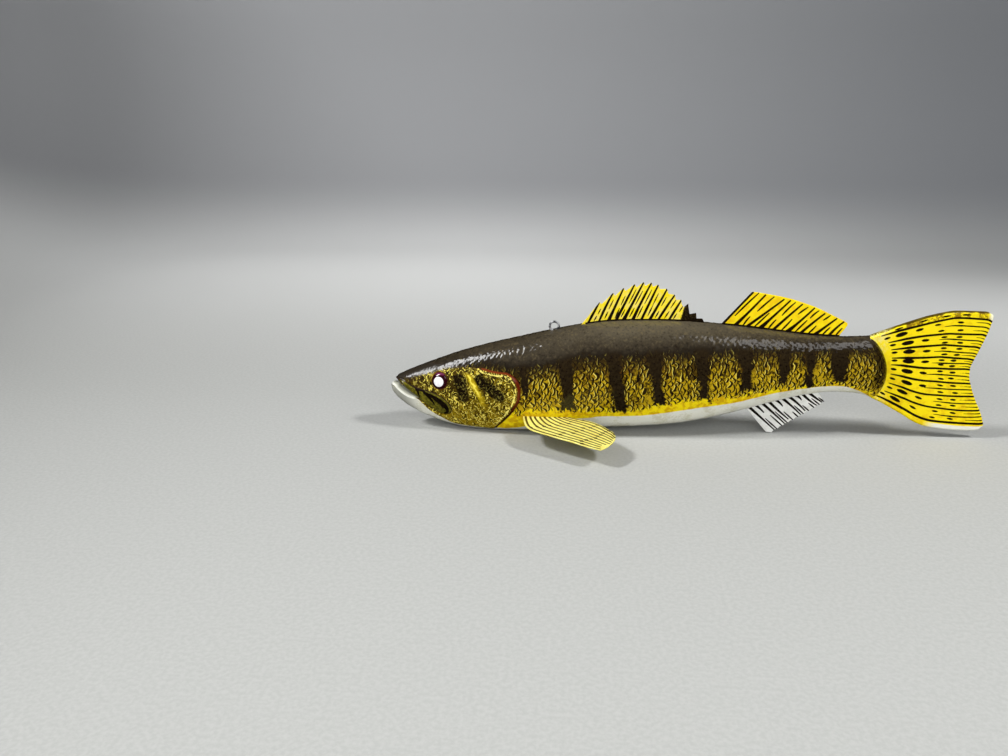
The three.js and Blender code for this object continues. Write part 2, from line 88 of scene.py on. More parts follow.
# How finely the body is divided: rings on the snout and on the rounded end, and columns round the body
SNOUT_RINGS = 24
END_RINGS = 9
BODY_COLUMNS = 200
SNOUT_REACH = 4.2  # length of the snout that has its own rings, in mm
HEAD_STEP = 0.54  # between two sections of the head, in mm
TRUNK_STEP = 0.9  # between two sections of the trunk, in mm
HEAD_END = 0.232  # share of the length where the trunk's spacing starts
FULL_SECTION = (24, 39)  # half width and half height of the section that the columns are spread on
CURVE_STEPS = 10  # points of a rounded line for each point given
# Points of each fin's faces, along it and upward, and the rounding of its edges in mm
TAIL_GRID = (190, 230)
SPINY_GRID = (330, 84)
SOFT_GRID = (300, 84)
ANAL_GRID = (190, 96)
PADDLE_GRID = (240, 110)
TAIL_ROUNDING = 1.6
SHEET_ROUNDING = 0.4
# Sides of the lathed and swept rounds
EYE_SIDES = 64
WIRE_SIDES = 14
THREAD_SIDES = 6

# Carved scales: bow of the rear edge in scale lengths, and how steeply a scale stands up towards it
SCALE_BOW = 0.42
SCALE_SLOPE = 1.15

FAR = 30.0  # stands for a long way off in the distances kept for the paint, in mm
STROKE_MARGIN = 3  # how far from a brush stroke its distance is worked out, in mm

# Places in shares of the body's length and, in pairs, of the crown height
SPINY_START = 0.3255
SOFT_START = 0.5548
ANAL_START = 0.6062
PECTORAL_PLACE = (0.231, 0.184)
EYE_PLACE = (0.0893, 0.466)

# Lines on the side of the head, in millimetres: along the fish, above the table
GILL_LINE = [
    (-141.5, 48.7), (-136, 47.6), (-129.6, 46.9), (-124.4, 46.5), (-119.9, 43.7), (-116.7, 39),
    (-115.9, 33.2), (-117, 26.8), (-119.3, 22), (-122.5, 16.6), (-127.1, 10.8), (-131.6, 5.4), (-134, 2),
]
CHEEK_LINE = [
    (-153.9, 46.2), (-151.2, 42.6), (-148.5, 38.2), (-145.6, 33), (-143.3, 29), (-141.6, 24.6),
    (-142, 18.5), (-145, 12),
]
MAXILLA = [
    (-205.4, 36.4), (-201, 33.9), (-196.7, 29.7), (-191.8, 25.3), (-186.1, 22.1), (-180.4, 18.3),
    (-176.4, 15.9), (-172.4, 13.6), (-168.7, 12.9), (-165.7, 14.3), (-164.3, 17.7), (-166, 21.6),
    (-170.2, 25.4), (-175.9, 28.4), (-181.6, 29.8), (-188.3, 31.2), (-194.2, 33), (-200.1, 35.6),
]
MOUTH = [
    (-187.6, 23.6), (-194.4, 24.3), (-199.2, 26.4), (-203.4, 29.2), (-207.4, 32.2), (-216, 33),
    (-216, 37.5), (-205.5, 35.8), (-201.6, 32.9), (-197, 29.9), (-191, 26),
]
HEAD_REAR = -95  # the head's lines and patches all lie ahead of this
SNOUT_AHEAD = -230  # a place ahead of the whole fish
EYE = (-172.5, 38.0)
EYE_SQUASH = 0.93  # length of the eye's painted rim for each millimetre of its height
PUPIL_AHEAD = 0.5  # the pupil is painted this far ahead of the middle of the glass

# Edges of the painted areas on the side of the body, in millimetres: along the fish, above the table
WHITE_TOP = [
    (-210, 32), (-200, 27), (-190, 23.4), (-185, 19.2), (-180.4, 14.6), (-170.3, 8.2), (-163, 4.3),
    (-153, 3.2), (-140, 2.4), (-131, 2.6), (-124, 3.2), (-117, 4.4), (-105, 7.4), (-87, 12.6),
    (-67.3, 14.9), (-59, 16.2), (-31.1, 17.3), (-17.4, 19.4), (-3.7, 21.6), (9.9, 24.1), (23.7, 26),
    (37.6, 28.3), (51, 31.9), (64.6, 35), (78.5, 37), (92.3, 38.4), (106.3, 38.8), (113.6, 37.5),
    (121.2, 34.4), (129.5, 29.4), (134, 26),
]
BAND_TOP = [
    (-116, 18), (-100, 21), (-87, 21.4), (-59.2, 21.7), (-35, 22.8), (-18.2, 27.4), (2.3, 30.4),
    (20, 32.4), (36.6, 34), (57.2, 37.3), (85, 39.6), (105.7, 41.4), (122, 37), (134, 31),
]
BACK_BOTTOM = [
    (-210, 34), (-199, 36.6), (-180, 43), (-165, 47.4), (-151, 50.6), (-140, 51), (-128, 49.5),
    (-115.2, 49), (-101.4, 51), (-87.6, 54), (-74.1, 58.4), (-60.5, 59.6), (-33.4, 60.4), (-6.3, 62.6),
    (20.7, 63.4), (48, 64), (75.5, 64), (103.1, 63.7), (134, 63.7),
]
# Dark bars on the flank in millimetres: middle at the back and at the foot, half width, height of the foot,
# and how solidly the bar is painted
BARS = [
    (-113.5, -112, 3.4, 33, 0.3), (-84, -81.5, 3.9, 22.5, 1), (-51, -45, 4.1, 22.5, 1),
    (-23, -18.7, 3.7, 28.5, 1), (9, 12, 3.4, 30.5, 1), (38, 41, 4.1, 39, 1), (65, 66, 4, 42.5, 0.55),
    (83, 84.5, 3.3, 39, 1), (103.5, 104, 4.3, 43.5, 1),
]
BAR_TOP = 58
BAR_FAINTNESS = 2.2  # how far the edges of the faintest bar draw in, in mm
# Dark patches behind the eye and on the gill cover: two ends of each patch's middle line, and its half width
BLOTCHES = [((-158, 40), (-155, 28), 3.7), ((-143.5, 41), (-129.5, 30), 3.4)]
# Brush strokes on the upper jaw's plate: points of each stroke, then its half widths from end to end
JAW_STROKES = [
    ([(-198.2, 35.4), (-193.5, 33), (-188.5, 31), (-184, 29.5)], (0.3, 0.6, 0.8, 0.7)),
    ([(-190.6, 32.4), (-188.9, 29.8), (-187, 23.9)], (1.2, 0.9, 0.15)),
    ([(-184, 28.9), (-180.9, 26.4), (-177.5, 22.3), (-175.2, 19.2)], (0.9, 1.1, 0.8, 0.2)),
    ([(-180.8, 28.2), (-176, 24.6), (-172, 20.6), (-170, 17.1)], (0.5, 0.4, 0.3, 0.15)),
    (
        [
            (-184, 29), (-178.1, 26.6), (-172.4, 23), (-168.2, 19.4), (-167, 16.9), (-167.6, 15.2),
            (-169.5, 14.2),
        ],
        (0.5, 0.9, 1.5, 1.9, 1.9, 1.3, 0.6),
    ),
]

# Outline of the tail fin in shares of the length and the crown height
TAIL_TOP = [
    (0.7667, 0.8), (0.7976, 0.9), (0.8274, 0.966), (0.8571, 1.026), (0.8876, 1.081), (0.918, 1.119),
    (0.9333, 1.126), (0.9643, 1.124), (0.9773, 1.12), (0.9855, 1.098),
]
TAIL_BOTTOM = [
    (0.7667, 0.5), (0.8119, 0.349), (0.8276, 0.308), (0.8629, 0.207), (0.8808, 0.15), (0.8981, 0.11),
    (0.915, 0.089), (0.9483, 0.07), (0.981, 0.067), (0.9938, 0.077),
]
TAIL_REAR = [
    (0.9938, 0.077), (0.9993, 0.11), (0.9998, 0.137), (0.9921, 0.238), (0.9776, 0.381), (0.9664, 0.523),
    (0.9643, 0.594), (0.9648, 0.657), (0.9736, 0.79), (0.9829, 0.947), (0.987, 1.069), (0.9855, 1.098),
]
# Painted rays of the tail fin: where the middle ray starts and how much nearer the body the outer ones start,
# in shares of its length, and the place of each ray in shares of its height
TAIL_RAY_START = 0.372
TAIL_RAY_BOW = 0.72
TAIL_RAYS = [0.07, 0.19, 0.312, 0.43, 0.54, 0.625, 0.727, 0.825, 0.943]
# Long rays of the tail fin, the lowest one and the others: half width along it and at its start, in mm
TAIL_LOW_RAY = (1.15, 0.6)
TAIL_LONG_RAY = (0.98, 0.4)
# Rows of dots on the tail fin: share of its length, how much the row bows, half length and half height in mm
TAIL_DOT_ROWS = [(0.388, 0.75, 2.2, 0.95), (0.515, 0.95, 4.2, 1.7), (0.648, 0.95, 2.7, 1.1)]
TAIL_CLOSE_ROWS = [(0.772, 0.72, 2.2, 0.82), (0.862, 0.5, 2.2, 0.86)]
TAIL_TOP_DOTS = [0.35, 0.517, 0.672, 0.815]  # along the top edge

# Outlines of the fins in shares of their own length and height
SPINY_ARCH = [
    (0, 0), (0.138, 0.515), (0.245, 0.733), (0.33, 0.85), (0.415, 0.945), (0.53, 1.0), (0.604, 0.94),
    (0.67, 0.852), (0.79, 0.58), (0.846, 0.46), (1, 0.1),
]
# Tips of its spines, feet of the strokes painted along them, and the dark leaf-shaped points behind them
SPINE_TIPS = [0.14, 0.249, 0.333, 0.421, 0.493, 0.556, 0.611, 0.683, 0.748, 0.803]
SPINE_FEET = [0.052, 0.141, 0.219, 0.28, 0.342, 0.416, 0.486, 0.553, 0.622, 0.709]
SPINE_FOOT_HALVES = [0.75, 0.75, 1.3, 1.1, 1.4, 1.2, 0.9, 1.1, 0.8, 0.75]
SPINE_VALLEY = 0.2  # share of the way to the next tip where the sheet dips
# Short strokes behind each spine: start and end as shares of the spine, and half width in mm
SPINE_MARKS = [(0.04, 0.34, 0.55), (0.42, 0.78, 0.48)]
SPINY_DARK = 0.8  # share of the fin's length behind which it is dark
SPINY_REAR = [
    (0.824, 0.36), (0.842, 0.415), (0.86, 0.47), (0.866, 0.33), (0.876, 0.19), (0.902, 0.215),
    (0.928, 0.235), (0.934, 0.09), (0.98, 0.1), (1, 0),
]
SOFT_EDGE = [
    (0.238, 0.99), (0.28, 1.0), (0.44, 0.975), (0.57, 0.935), (0.69, 0.86), (0.8, 0.76), (0.94, 0.57),
    (1.02, 0.45),
]
SOFT_REAR = [(1, 0), (1.06, 0.33), (1.02, 0.45)]
# Painted rays of the second fin: foot, tip and half width at the foot; then the shorter strokes between them
SOFT_RAYS = [
    ((0.118, 0), (0.352, 0.95), 1.2), ((0.215, 0), (0.508, 0.89), 0.9), ((0.33, 0), (0.562, 0.88), 1.5),
    ((0.44, 0), (0.664, 0.82), 0.9), ((0.56, 0), (0.768, 0.75), 1.5), ((0.67, 0), (0.858, 0.62), 0.9),
    ((0.79, 0), (0.962, 0.5), 1.2), ((0.91, 0), (1.023, 0.41), 0.9),
]
SOFT_STROKES = [
    ((0.113, 0.28), (0.294, 0.98)), ((0.186, 0.02), (0.239, 0.3)), ((0.298, 0.48), (0.425, 0.93)),
    ((0.28, 0.02), (0.395, 0.46)), ((0.4, 0.02), (0.458, 0.3)), ((0.507, 0.45), (0.606, 0.85)),
    ((0.51, 0.02), (0.591, 0.37)), ((0.639, 0.54), (0.714, 0.76)), ((0.625, 0.02), (0.717, 0.39)),
    ((0.743, 0.47), (0.808, 0.69)), ((0.735, 0.02), (0.798, 0.26)), ((0.854, 0.44), (0.907, 0.58)),
    ((0.857, 0.02), (0.914, 0.24)), ((0.967, 0.02), (1.015, 0.23)),
]
# The fin under the tail stalk: its lowest point and a point of its front, each a share of its length and a
# height above the table in mm, and the share of its length at its rear corner
ANAL_TIP = (0.435, 0.2)
ANAL_FRONT = (0.345, 0.6)
ANAL_CORNER = 1.19
ANAL_RAYS = 10
PADDLE_RAYS = 10
PADDLE_JOINTS = (0.33, 0.57, 0.8)  # where its rays are thicker, as shares of its length
PADDLE_CUP = 0.9  # how far the paddle is cupped, in mm
PADDLE_FRONT = [
    (0, 0), (0.01, 0.123), (0.041, 0.316), (0.099, 0.437), (0.176, 0.512), (0.305, 0.617), (0.415, 0.706),
    (0.523, 0.78), (0.626, 0.863), (0.729, 0.942), (0.832, 1.0),
]
PADDLE_END = [(0.832, 1.0), (0.886, 0.942), (0.942, 0.844), (0.99, 0.716), (1.0, 0.607)]
PADDLE_REAR = [
    (0.533, 0), (0.646, 0.067), (0.732, 0.118), (0.806, 0.194), (0.882, 0.306), (0.943, 0.427),
    (0.982, 0.497), (1.0, 0.607),
]

# Mixed paints, painted light and shade among them, as 0 to 255 in each channel
PAINTS = {
    "rust": (84, 42, 4), "amber": (204, 150, 4), "glint": (252, 234, 110), "back_foot_dark": (28, 22, 14),
    "crest_painted_sheen": (84, 77, 62), "fawn": (112, 98, 66), "pits": (24, 19, 12), "shade": (34, 26, 14),
    "bar": (43, 33, 16), "bar_dark": (27, 18, 7), "cream": (204, 200, 170), "jaw_tip_painted_shade": (146, 146, 136),
    "contact_painted_shade": (112, 108, 96), "head_olive": (62, 46, 6), "head_gold": (150, 124, 12),
    "squiggle": (252, 234, 104), "snout": (58, 40, 8), "crown": (46, 40, 32), "cheek_gold": (206, 178, 12),
    "cheek_line": (250, 232, 90), "gill_dots": (252, 236, 120), "gill_top": (122, 52, 16),
    "gill_foot": (44, 14, 4), "jaw_plate": (112, 104, 26), "jaw_dark": (70, 66, 12),
    "jaw_groove": (44, 26, 22), "mouth_painted_shade": (122, 122, 110), "mouth_rim": (206, 206, 190),
    "lip_painted_highlight": (244, 244, 232), "eye_rim": (176, 122, 24), "eye_socket": (40, 8, 14),
    "tail_gold": (226, 180, 6), "tail_mottle": (126, 88, 6), "tail_top_edge": (52, 36, 8),
    "tail_tip": (250, 246, 214), "tail_root": (246, 236, 150), "leaf_points": (70, 58, 26),
    "spiny_pale": (244, 224, 122), "soft_gold": (240, 190, 8), "fin_white": (244, 244, 240),
    "fin_grey": (222, 222, 216), "paddle_gold": (222, 206, 96), "paddle_ink": (72, 58, 18),
    "pearl_grey": (236, 230, 238), "ring_glow": (112, 46, 82), "steel": (196, 197, 199),
    "steel_dark": (56, 57, 60), "fibre": (172, 173, 170), "far_floor_painted_light": (232, 233, 231),
    "right_floor_painted_shade": (136, 137, 136), "right_wall_painted_shade": (113, 115, 118), "front_wall": (214, 214, 214),
    "surround": (196, 198, 202),
}

# The paper: half of its flat square, radius of its curve and height of its top edge, in mm
PAPER_FLAT = 720
PAPER_CURVE = 330
PAPER_TOP = 900
# Lamps: name, place in metres, width and height of the lamp, watts, and whether the varnish alone reflects it
LAMPS = [
    ("left_key", (-1.25, -0.33, 1.30), 0.25, 0.25, 22.5, False),
    ("right_key", (1.05, -0.33, 1.30), 0.25, 0.25, 17.8, False),
    ("front_fill", (0.0, -1.0, 0.45), 1.6, 0.7, 6.7, False),
    ("left_box", (-0.70, -0.28, 0.75), 0.2, 0.5, 6.0, True),
    ("right_box", (0.45, -0.55, 0.75), 0.2, 0.5, 1.2, True),
]
LAMP_AIM = (0, 0, 0.03)
SURROUND_STRENGTH = 0.15
# The camera's place in metres, and the direction from what it looks at back to it
CAMERA_PLACE = (-0.08505, -0.61432, 0.23699)
CAMERA_BACK = (0.06601, -0.94877, 0.30902)


def srgb(red, green, blue):
    """A colour given as 0 to 255 in each channel, as Blender's linear colour."""
    shares = [channel / 255 for channel in (red, green, blue)]
    return tuple(share / 12.92 if share <= 0.04045 else ((share + 0.055) / 1.055) ** 2.4 for share in shares)


def size(name, description, millimetres):
    return FloatProperty(name=name, description=description, default=millimetres * MM, min=0.0, unit="LENGTH")


def colour(name, description, *channels):
    return FloatVectorProperty(
        name=name, description=description, default=srgb(*channels), subtype="COLOR", min=0.0, max=1.0, size=3
    )


class DecoyBody(bpy.types.PropertyGroup):
    """Sizes and paint of the carved body and tail fin."""

    length: size("Length", "Lower jaw tip to the rear of the tail fin", 420)
    crown: size("Crown", "Table to the highest point of the back", 81.6)
    width: size("Width", "Across the widest part of the body", 48)
    end_rounding: size("End rounding", "Rounding of the body's end at the tail fin", 6)
    end_bulge: size("End bulge", "How far the middle of the body's end stands back", 9.2)
    end_lean: size("End lean", "How far the bottom of the body's end stands back from its top", 6.9)
    mouth_depth: size("Mouth depth", "From the lips in to the wood of the open mouth", 4.5)
    gill_step: size("Gill step", "How far the gill cover stands above the shoulder", 0.9)
    scale_pitch: size("Scale pitch", "Length of one carved scale on the shoulder", 4.4)
    scale_relief: size("Scale relief", "How far a scale's edge stands up", 0.28)
    scale_height: size("Scale height", "Height of one carved scale", 6.4)
    tail_root: size("Tail root", "Thickness of the tail fin at the body", 6)
    tail_edge: size("Tail edge", "Thickness of the tail fin at its rear edge", 3.4)
    back_paint: colour("Back", "Dark paint on the back", 58, 51, 39)
    gold_paint: colour("Gold", "Gold paint on the flank", 190, 158, 16)
    olive_paint: colour("Olive", "Olive brown under the gold", 66, 48, 6)
    ink_paint: colour("Ink", "Brown black of bars, scales and rays", 22, 13, 4)
    yellow_paint: colour("Yellow", "Yellow of the lower band and the fins", 252, 226, 12)
    white_paint: colour("White", "White of the belly and the lower jaw", 236, 235, 222)
    gill_paint: colour("Gill line", "Red brown line round the gill cover", 98, 30, 6)


class DecoyFins(bpy.types.PropertyGroup):
    """Sizes and paint of the sheet-metal fins."""

    sheet: size("Sheet", "Thickness of the sheet metal", 0.9)
    slot_depth: size("Slot depth", "How far a fin goes into the wood", 5)
    spiny_length: size("Spiny fin length", "Along the back", 85)
    spiny_height: size("Spiny fin height", "Highest spine above the back", 27)
    spine_notch: size("Spine notch", "How far the sheet dips between two spines", 2.8)
    soft_length: size("Soft fin length", "Along the back", 81)
    soft_height: size("Soft fin height", "Highest point above the back", 25.1)
    anal_length: size("Anal fin length", "Along the belly", 46)
    anal_teeth: IntProperty(
        name="Anal fin teeth", description="Ray ends along the lower edge", default=10, min=3
    )
    anal_tooth: size("Anal fin tooth", "How far the ray ends stand out", 1.1)
    anal_drop: size("Anal fin drop", "From the belly down to the rear corner", 7)
    pectoral_root: size("Pectoral root", "Length of the pectoral fin's slot", 33)
    pectoral_length: size("Pectoral length", "Front of the root to the tip", 63.4)
    pectoral_span: size("Pectoral span", "Out from the root line", 53.7)
    pectoral_droop: FloatProperty(
        name="Pectoral droop", description="Below level", default=math.radians(2), unit="ROTATION"
    )
    pale_paint: colour("Pale yellow", "Paint of the pectoral fins", 240, 232, 130)


class DecoyEyes(bpy.types.PropertyGroup):
    """Sizes and colours of the glass eyes."""

    diameter: size("Diameter", "Across the glass", 12)
    dome: size("Dome", "Height of the glass above its rim", 2.6)
    pupil: size("Pupil", "Across the pearl pupil", 7.0)
    pearl: colour("Pearl", "Pearl pupil", 252, 252, 254)
    ring: colour("Ring", "Dark ring round the pupil", 44, 8, 18)


class DecoyStage(bpy.types.PropertyGroup):
    """Floor, lamps and camera."""

    floor_paint: colour("Floor", "Paper of the floor", 180, 181, 178)
    # The backdrop's paper is painted darker than the floor's, as painted shade
    backdrop_painted_shade: colour("Wall", "Paper of the backdrop", 154, 155, 157)
    lamp_power: FloatProperty(name="Lamp power", description="Strength of all lamps", default=1.0, min=0.0)
    lens: FloatProperty(
        name="Lens", description="Focal length of the camera", default=32.143, min=1.0, unit="CAMERA"
    )


GROUPS = {
    "decoy_body": DecoyBody,
    "decoy_fins": DecoyFins,
    "decoy_eyes": DecoyEyes,
    "decoy_stage": DecoyStage,
}


def mm(length):
    """A length of a property group in millimetres."""
    return length / MM


def smooth(low, high, value):
    """Rises smoothly from 0 at low to 1 at high."""
    t = np.clip((value - low) / (high - low), 0, 1)
    return t * t * (3 - 2 * t)


def bell(value, width):
    """A bump of height 1 about zero."""
    return np.exp(-((value / width) ** 2))


def curve_through(points):
    """A smooth curve through points in rising x, as a function of x."""
    xs, ys = np.array(points, float).T
    steps = np.diff(xs)
    secants = np.diff(ys) / steps
    inner = (steps[1:] * secants[:-1] + steps[:-1] * secants[1:]) / (steps[:-1] + steps[1:])
    slopes = np.concatenate([secants[:1], inner, secants[-1:]])

    def height(x):
        x = np.clip(x, xs[0], xs[-1])
        i = np.clip(np.searchsorted(xs, x, side="right") - 1, 0, len(steps) - 1)
        t = (x - xs[i]) / steps[i]
        rise = (1 + 2 * t) * (1 - t) ** 2 * ys[i] + t * t * (3 - 2 * t) * ys[i + 1]
        return rise + steps[i] * (t * (1 - t) ** 2 * slopes[i] - t * t * (1 - t) * slopes[i + 1])

    return height


def rounded(points):
    """Points on a rounded line through the given ones."""
    points = np.array(points, float)
    padded = np.vstack([2 * points[0] - points[1], points, 2 * points[-1] - points[-2]])
    t = np.linspace(0, 1, CURVE_STEPS, endpoint=False)[:, None]
    parts = []
    for a, b, c, d in zip(padded, padded[1:], padded[2:], padded[3:]):
        parts.append(b + 0.5 * t * (c - a + t * (2 * a - 5 * b + 4 * c - d + t * (3 * b - a - 3 * c + d))))
    return np.vstack([*parts, points[-1:]])


def along_path(points):
    """A line of points as a function of the share of its length."""
    points = np.array(points, float)
    run = np.concatenate([[0], np.cumsum(np.linalg.norm(np.diff(points, axis=0), axis=1))])
    run = run / max(run[-1], 1e-9)
    return lambda share: np.stack([np.interp(share, run, column) for column in points.T], axis=-1)


def line_distance(spots, line):
    """Distance from each spot to a line of points, and the share of the line's length where it is nearest."""
    line = np.array(line, float)
    lengths = np.linalg.norm(np.diff(line, axis=0), axis=1)
    starts = np.concatenate([[0], np.cumsum(lengths)])
    best = np.full(len(spots), 1e9)
    share = np.zeros(len(spots))
    for a, b, length, start in zip(line, line[1:], lengths, starts):
        t = np.clip(((spots - a) @ (b - a)) / max(length**2, 1e-12), 0, 1)
        gap = np.linalg.norm(spots - a - t[:, None] * (b - a), axis=1)
        nearer = gap < best
        best[nearer] = gap[nearer]
        share[nearer] = (start + t[nearer] * length) / starts[-1]
    return best, share


def is_inside(spots, outline):
    """Which spots lie inside a closed outline."""
    x, z = spots.T
    inside = np.zeros(len(spots), bool)
    for (xa, za), (xb, zb) in zip(outline, np.roll(outline, -1, axis=0)):
        crosses = (za > z) != (zb > z)
        at = xa + (z - za) * (xb - xa) / (zb - za if zb != za else 1e-9)
        inside ^= crosses & (x < at)
    return inside


def area_depth(spots, outline):
    """How deep each spot lies inside a closed outline, below zero outside it."""
    closed = np.vstack([outline, outline[:1]])
    gap = line_distance(spots, closed)[0]
    return np.where(is_inside(spots, np.array(outline)), gap, -gap)


def waves(spots, size_mm, count=5, seed=SEED):
    """Smooth seeded unevenness over spots, about -1 to 1."""
    random = np.random.default_rng(seed)
    total = np.zeros(len(spots))
    for _ in range(count):
        direction = random.normal(size=spots.shape[1])
        direction /= np.linalg.norm(direction)
        pitch = size_mm * random.uniform(0.7, 1.5)
        total += np.sin(spots @ direction * 2 * np.pi / pitch + random.uniform(0, 2 * np.pi))
    return total / count**0.5


def mesh_object(name, points, faces, fields=None, uv=None):
    """A piece from points in millimetres, with named values at them and a UV pair at each face corner."""
    mesh = bpy.data.meshes.new(name)
    mesh.from_pydata((np.asarray(points) * MM).tolist(), [], faces)
    for field, values in (fields or {}).items():
        attribute = mesh.attributes.new(field, "FLOAT", "POINT")
        attribute.data.foreach_set("value", np.asarray(values, np.float32))
    if uv is not None:
        layer = mesh.uv_layers.new(name="scales")
        layer.data.foreach_set("uv", np.asarray(uv, np.float32).ravel())
    mesh.shade_smooth()
    piece = bpy.data.objects.new(name, mesh)
    bpy.context.scene.collection.objects.link(piece)
    return piece


def keep(piece, material, node):
    """Gives a finished piece its material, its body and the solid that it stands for."""
    piece.data.materials.clear()
    piece.data.materials.append(material)
    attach(piece, "root")
    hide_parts(node)


def grid_faces(rows, columns, closed=False):
    """Four-cornered faces over a grid of points; a closed grid's rows run round to their own start."""
    ring = np.arange(columns if closed else columns - 1)
    following = (ring + 1) % columns
    first = np.arange(rows - 1)[:, None] * columns
    corners = (first + ring, first + following, first + columns + following, first + columns + ring)
    return np.stack(corners, axis=-1).reshape(-1, 4)


class Form:
    """The carved body's sections, worked out from the body's sizes."""

    def __init__(self, sizes):
        self.sizes = sizes
        self.length = mm(sizes.length)
        self.crown = mm(sizes.crown)
        shares = np.array(FORM).T
        reaches = (self.crown, self.crown, mm(sizes.width) / 2)
        self.back, self.belly, self.half_width = (
            curve_through(np.column_stack([self.x(shares[0]), share * reach]))
            for share, reach in zip(shares[1:], reaches)
        )

    def x(self, share):
        """Place along the fish at a share of its length."""
        return (share - 0.5) * self.length

    def core(self, x):
        """Height of a section's middle, and half of the section's height."""
        return (self.back(x) + self.belly(x)) / 2, (self.back(x) - self.belly(x)) / 2

    def side(self, x, z):
        """Distance of the side from the middle plane."""
        middle, half = self.core(x)
        share = np.clip(np.abs(z - middle) / half, 0, 1)
        return self.half_width(x) * (1 - share**SECTION_POWER) ** (1 / SECTION_POWER)

    def side_normal(self, x, z, hand):
        """Outward direction of the side at a point; hand is -1 on the left and 1 on the right."""
        along = (self.side(x + 1, z) - self.side(x - 1, z)) / 2
        upward = (self.side(x, z + 1) - self.side(x, z - 1)) / 2
        return Vector((-along, hand, -upward)).normalized()

    def section(self, x, turn, narrowing=1, reach=0):
        """Points of the plain form at x, at turns round it from the belly by way of the left side."""
        at = x + reach
        middle, half = self.core(at)
        across = -np.sign(np.sin(turn)) * np.abs(np.sin(turn)) ** (2 / SECTION_POWER)
        upward = -np.sign(np.cos(turn)) * np.abs(np.cos(turn)) ** (2 / SECTION_POWER)
        bow = smooth(self.x(BULGE_START), self.x(BODY_END), x)
        bulge = mm(self.sizes.end_bulge) * (1 - upward**2) + mm(self.sizes.end_lean) * (1 - upward) / 2
        width = across * narrowing * self.half_width(at)
        return np.stack([at + bow * bulge, width, middle + upward * half], axis=-1)

    def stern(self):
        """Point that closes the body's end."""
        last = self.x(BODY_END) + mm(self.sizes.end_rounding)
        bulge = mm(self.sizes.end_bulge) + mm(self.sizes.end_lean) / 2
        return np.array([last + bulge, 0, self.core(last)[0]])


def body_stations(form):
    """Where the body's sections stand: close together on the snout and head, wider on the trunk."""
    snout = form.x(0) + SNOUT_REACH * (np.arange(1, SNOUT_RINGS + 1) / SNOUT_RINGS) ** 2
    head = np.arange(snout[-1] + 0.5, form.x(HEAD_END), HEAD_STEP)
    end = form.x(BODY_END)
    trunk = np.linspace(head[-1] + 0.6, end, int((end - head[-1]) / TRUNK_STEP))
    return np.concatenate([snout, head, trunk])


def body_grid(form):
    """Points of the plain form: one row for each section, from the snout to the rounded end."""
    fine = np.linspace(0, 2 * np.pi, 2001)
    wide, high = FULL_SECTION
    run = np.concatenate([[0], np.cumsum(np.hypot(wide * np.cos(fine[:-1]), high * np.sin(fine[:-1])))])
    turn = np.interp(np.linspace(0, run[-1], BODY_COLUMNS + 1)[:-1], run, fine)
    sections = [form.section(x, turn) for x in body_stations(form)]
    rounding = mm(form.sizes.end_rounding)
    for step in np.radians(90) * (1 - (1 - np.arange(1, END_RINGS + 1) / (END_RINGS + 0.6)) ** 1.3):
        sections.append(form.section(form.x(BODY_END), turn, math.cos(step), rounding * math.sin(step)))
    return np.array(sections)


def grid_normals(points):
    """Outward directions on a grid of sections round the body."""
    along = np.gradient(points, axis=0)
    around = np.roll(points, -1, axis=1) - np.roll(points, 1, axis=1)
    normals = np.cross(along, around)
    normals /= np.maximum(np.linalg.norm(normals, axis=-1, keepdims=True), 1e-9)
    section = len(points) // 2
    outward = points[section] - points[section].mean(0)
    return normals * np.sign(np.sum(normals[section] * outward))


def body_fields(spots):
    """Distances in millimetres from the painted and carved lines, at every point of the plain form."""
    x, z = spots[:, 0], spots[:, 2]
    head = x < HEAD_REAR
    side = np.stack([x, z], axis=-1)[head]

    def on_head(values, elsewhere=-FAR):
        """Values at the head's points, with one value for all the others."""
        every = np.full(len(x), elsewhere)
        every[head] = values
        return every

    fields = {
        name: z - np.interp(x, *rounded(line).T)
        for name, line in (("white", WHITE_TOP), ("band", BAND_TOP), ("back", BACK_BOTTOM))
    }
    bars = np.full(len(x), -FAR)
    for top, low, half, foot, strength in BARS:
        # A bar's width sways a little and grows towards the back
        middle = top + (low - top) * (BAR_TOP - z) / (BAR_TOP - foot)
        widening = 1 + 0.12 * np.sin(z / 5 + top) + 0.25 * smooth(44, 60, z)
        reach = half * widening - np.abs(x - middle)
        bars = np.maximum(bars, np.minimum(reach, z - foot + 1) - BAR_FAINTNESS * (1 - strength))
    fields["bars"] = bars
    for name, line, elsewhere in (("gill", GILL_LINE, FAR), ("cheek", CHEEK_LINE, -FAR)):
        curve = rounded(line)
        gap = line_distance(side, curve)[0]
        ahead = [(SNOUT_AHEAD, curve[-1][1]), (SNOUT_AHEAD, curve[0][1])]
        inside = is_inside(side, np.vstack([curve, ahead]))
        fields[name] = on_head(np.where(inside, -gap, gap), elsewhere)
    for name, outline in (("maxilla", MAXILLA), ("mouth", MOUTH)):
        fields[name] = on_head(area_depth(side, rounded(outline + outline[:1])[:-1]))
    fields["eye"] = np.minimum(np.hypot((x - EYE[0]) / EYE_SQUASH, z - EYE[1]), FAR)
    blotches = [half - line_distance(side, [upper, lower])[0] for upper, lower, half in BLOTCHES]
    fields["blotch"] = on_head(np.max(blotches, axis=0))
    fields["spears"] = on_head(stroke_depth(side, [(rounded(line), widths) for line, widths in JAW_STROKES]))
    return fields


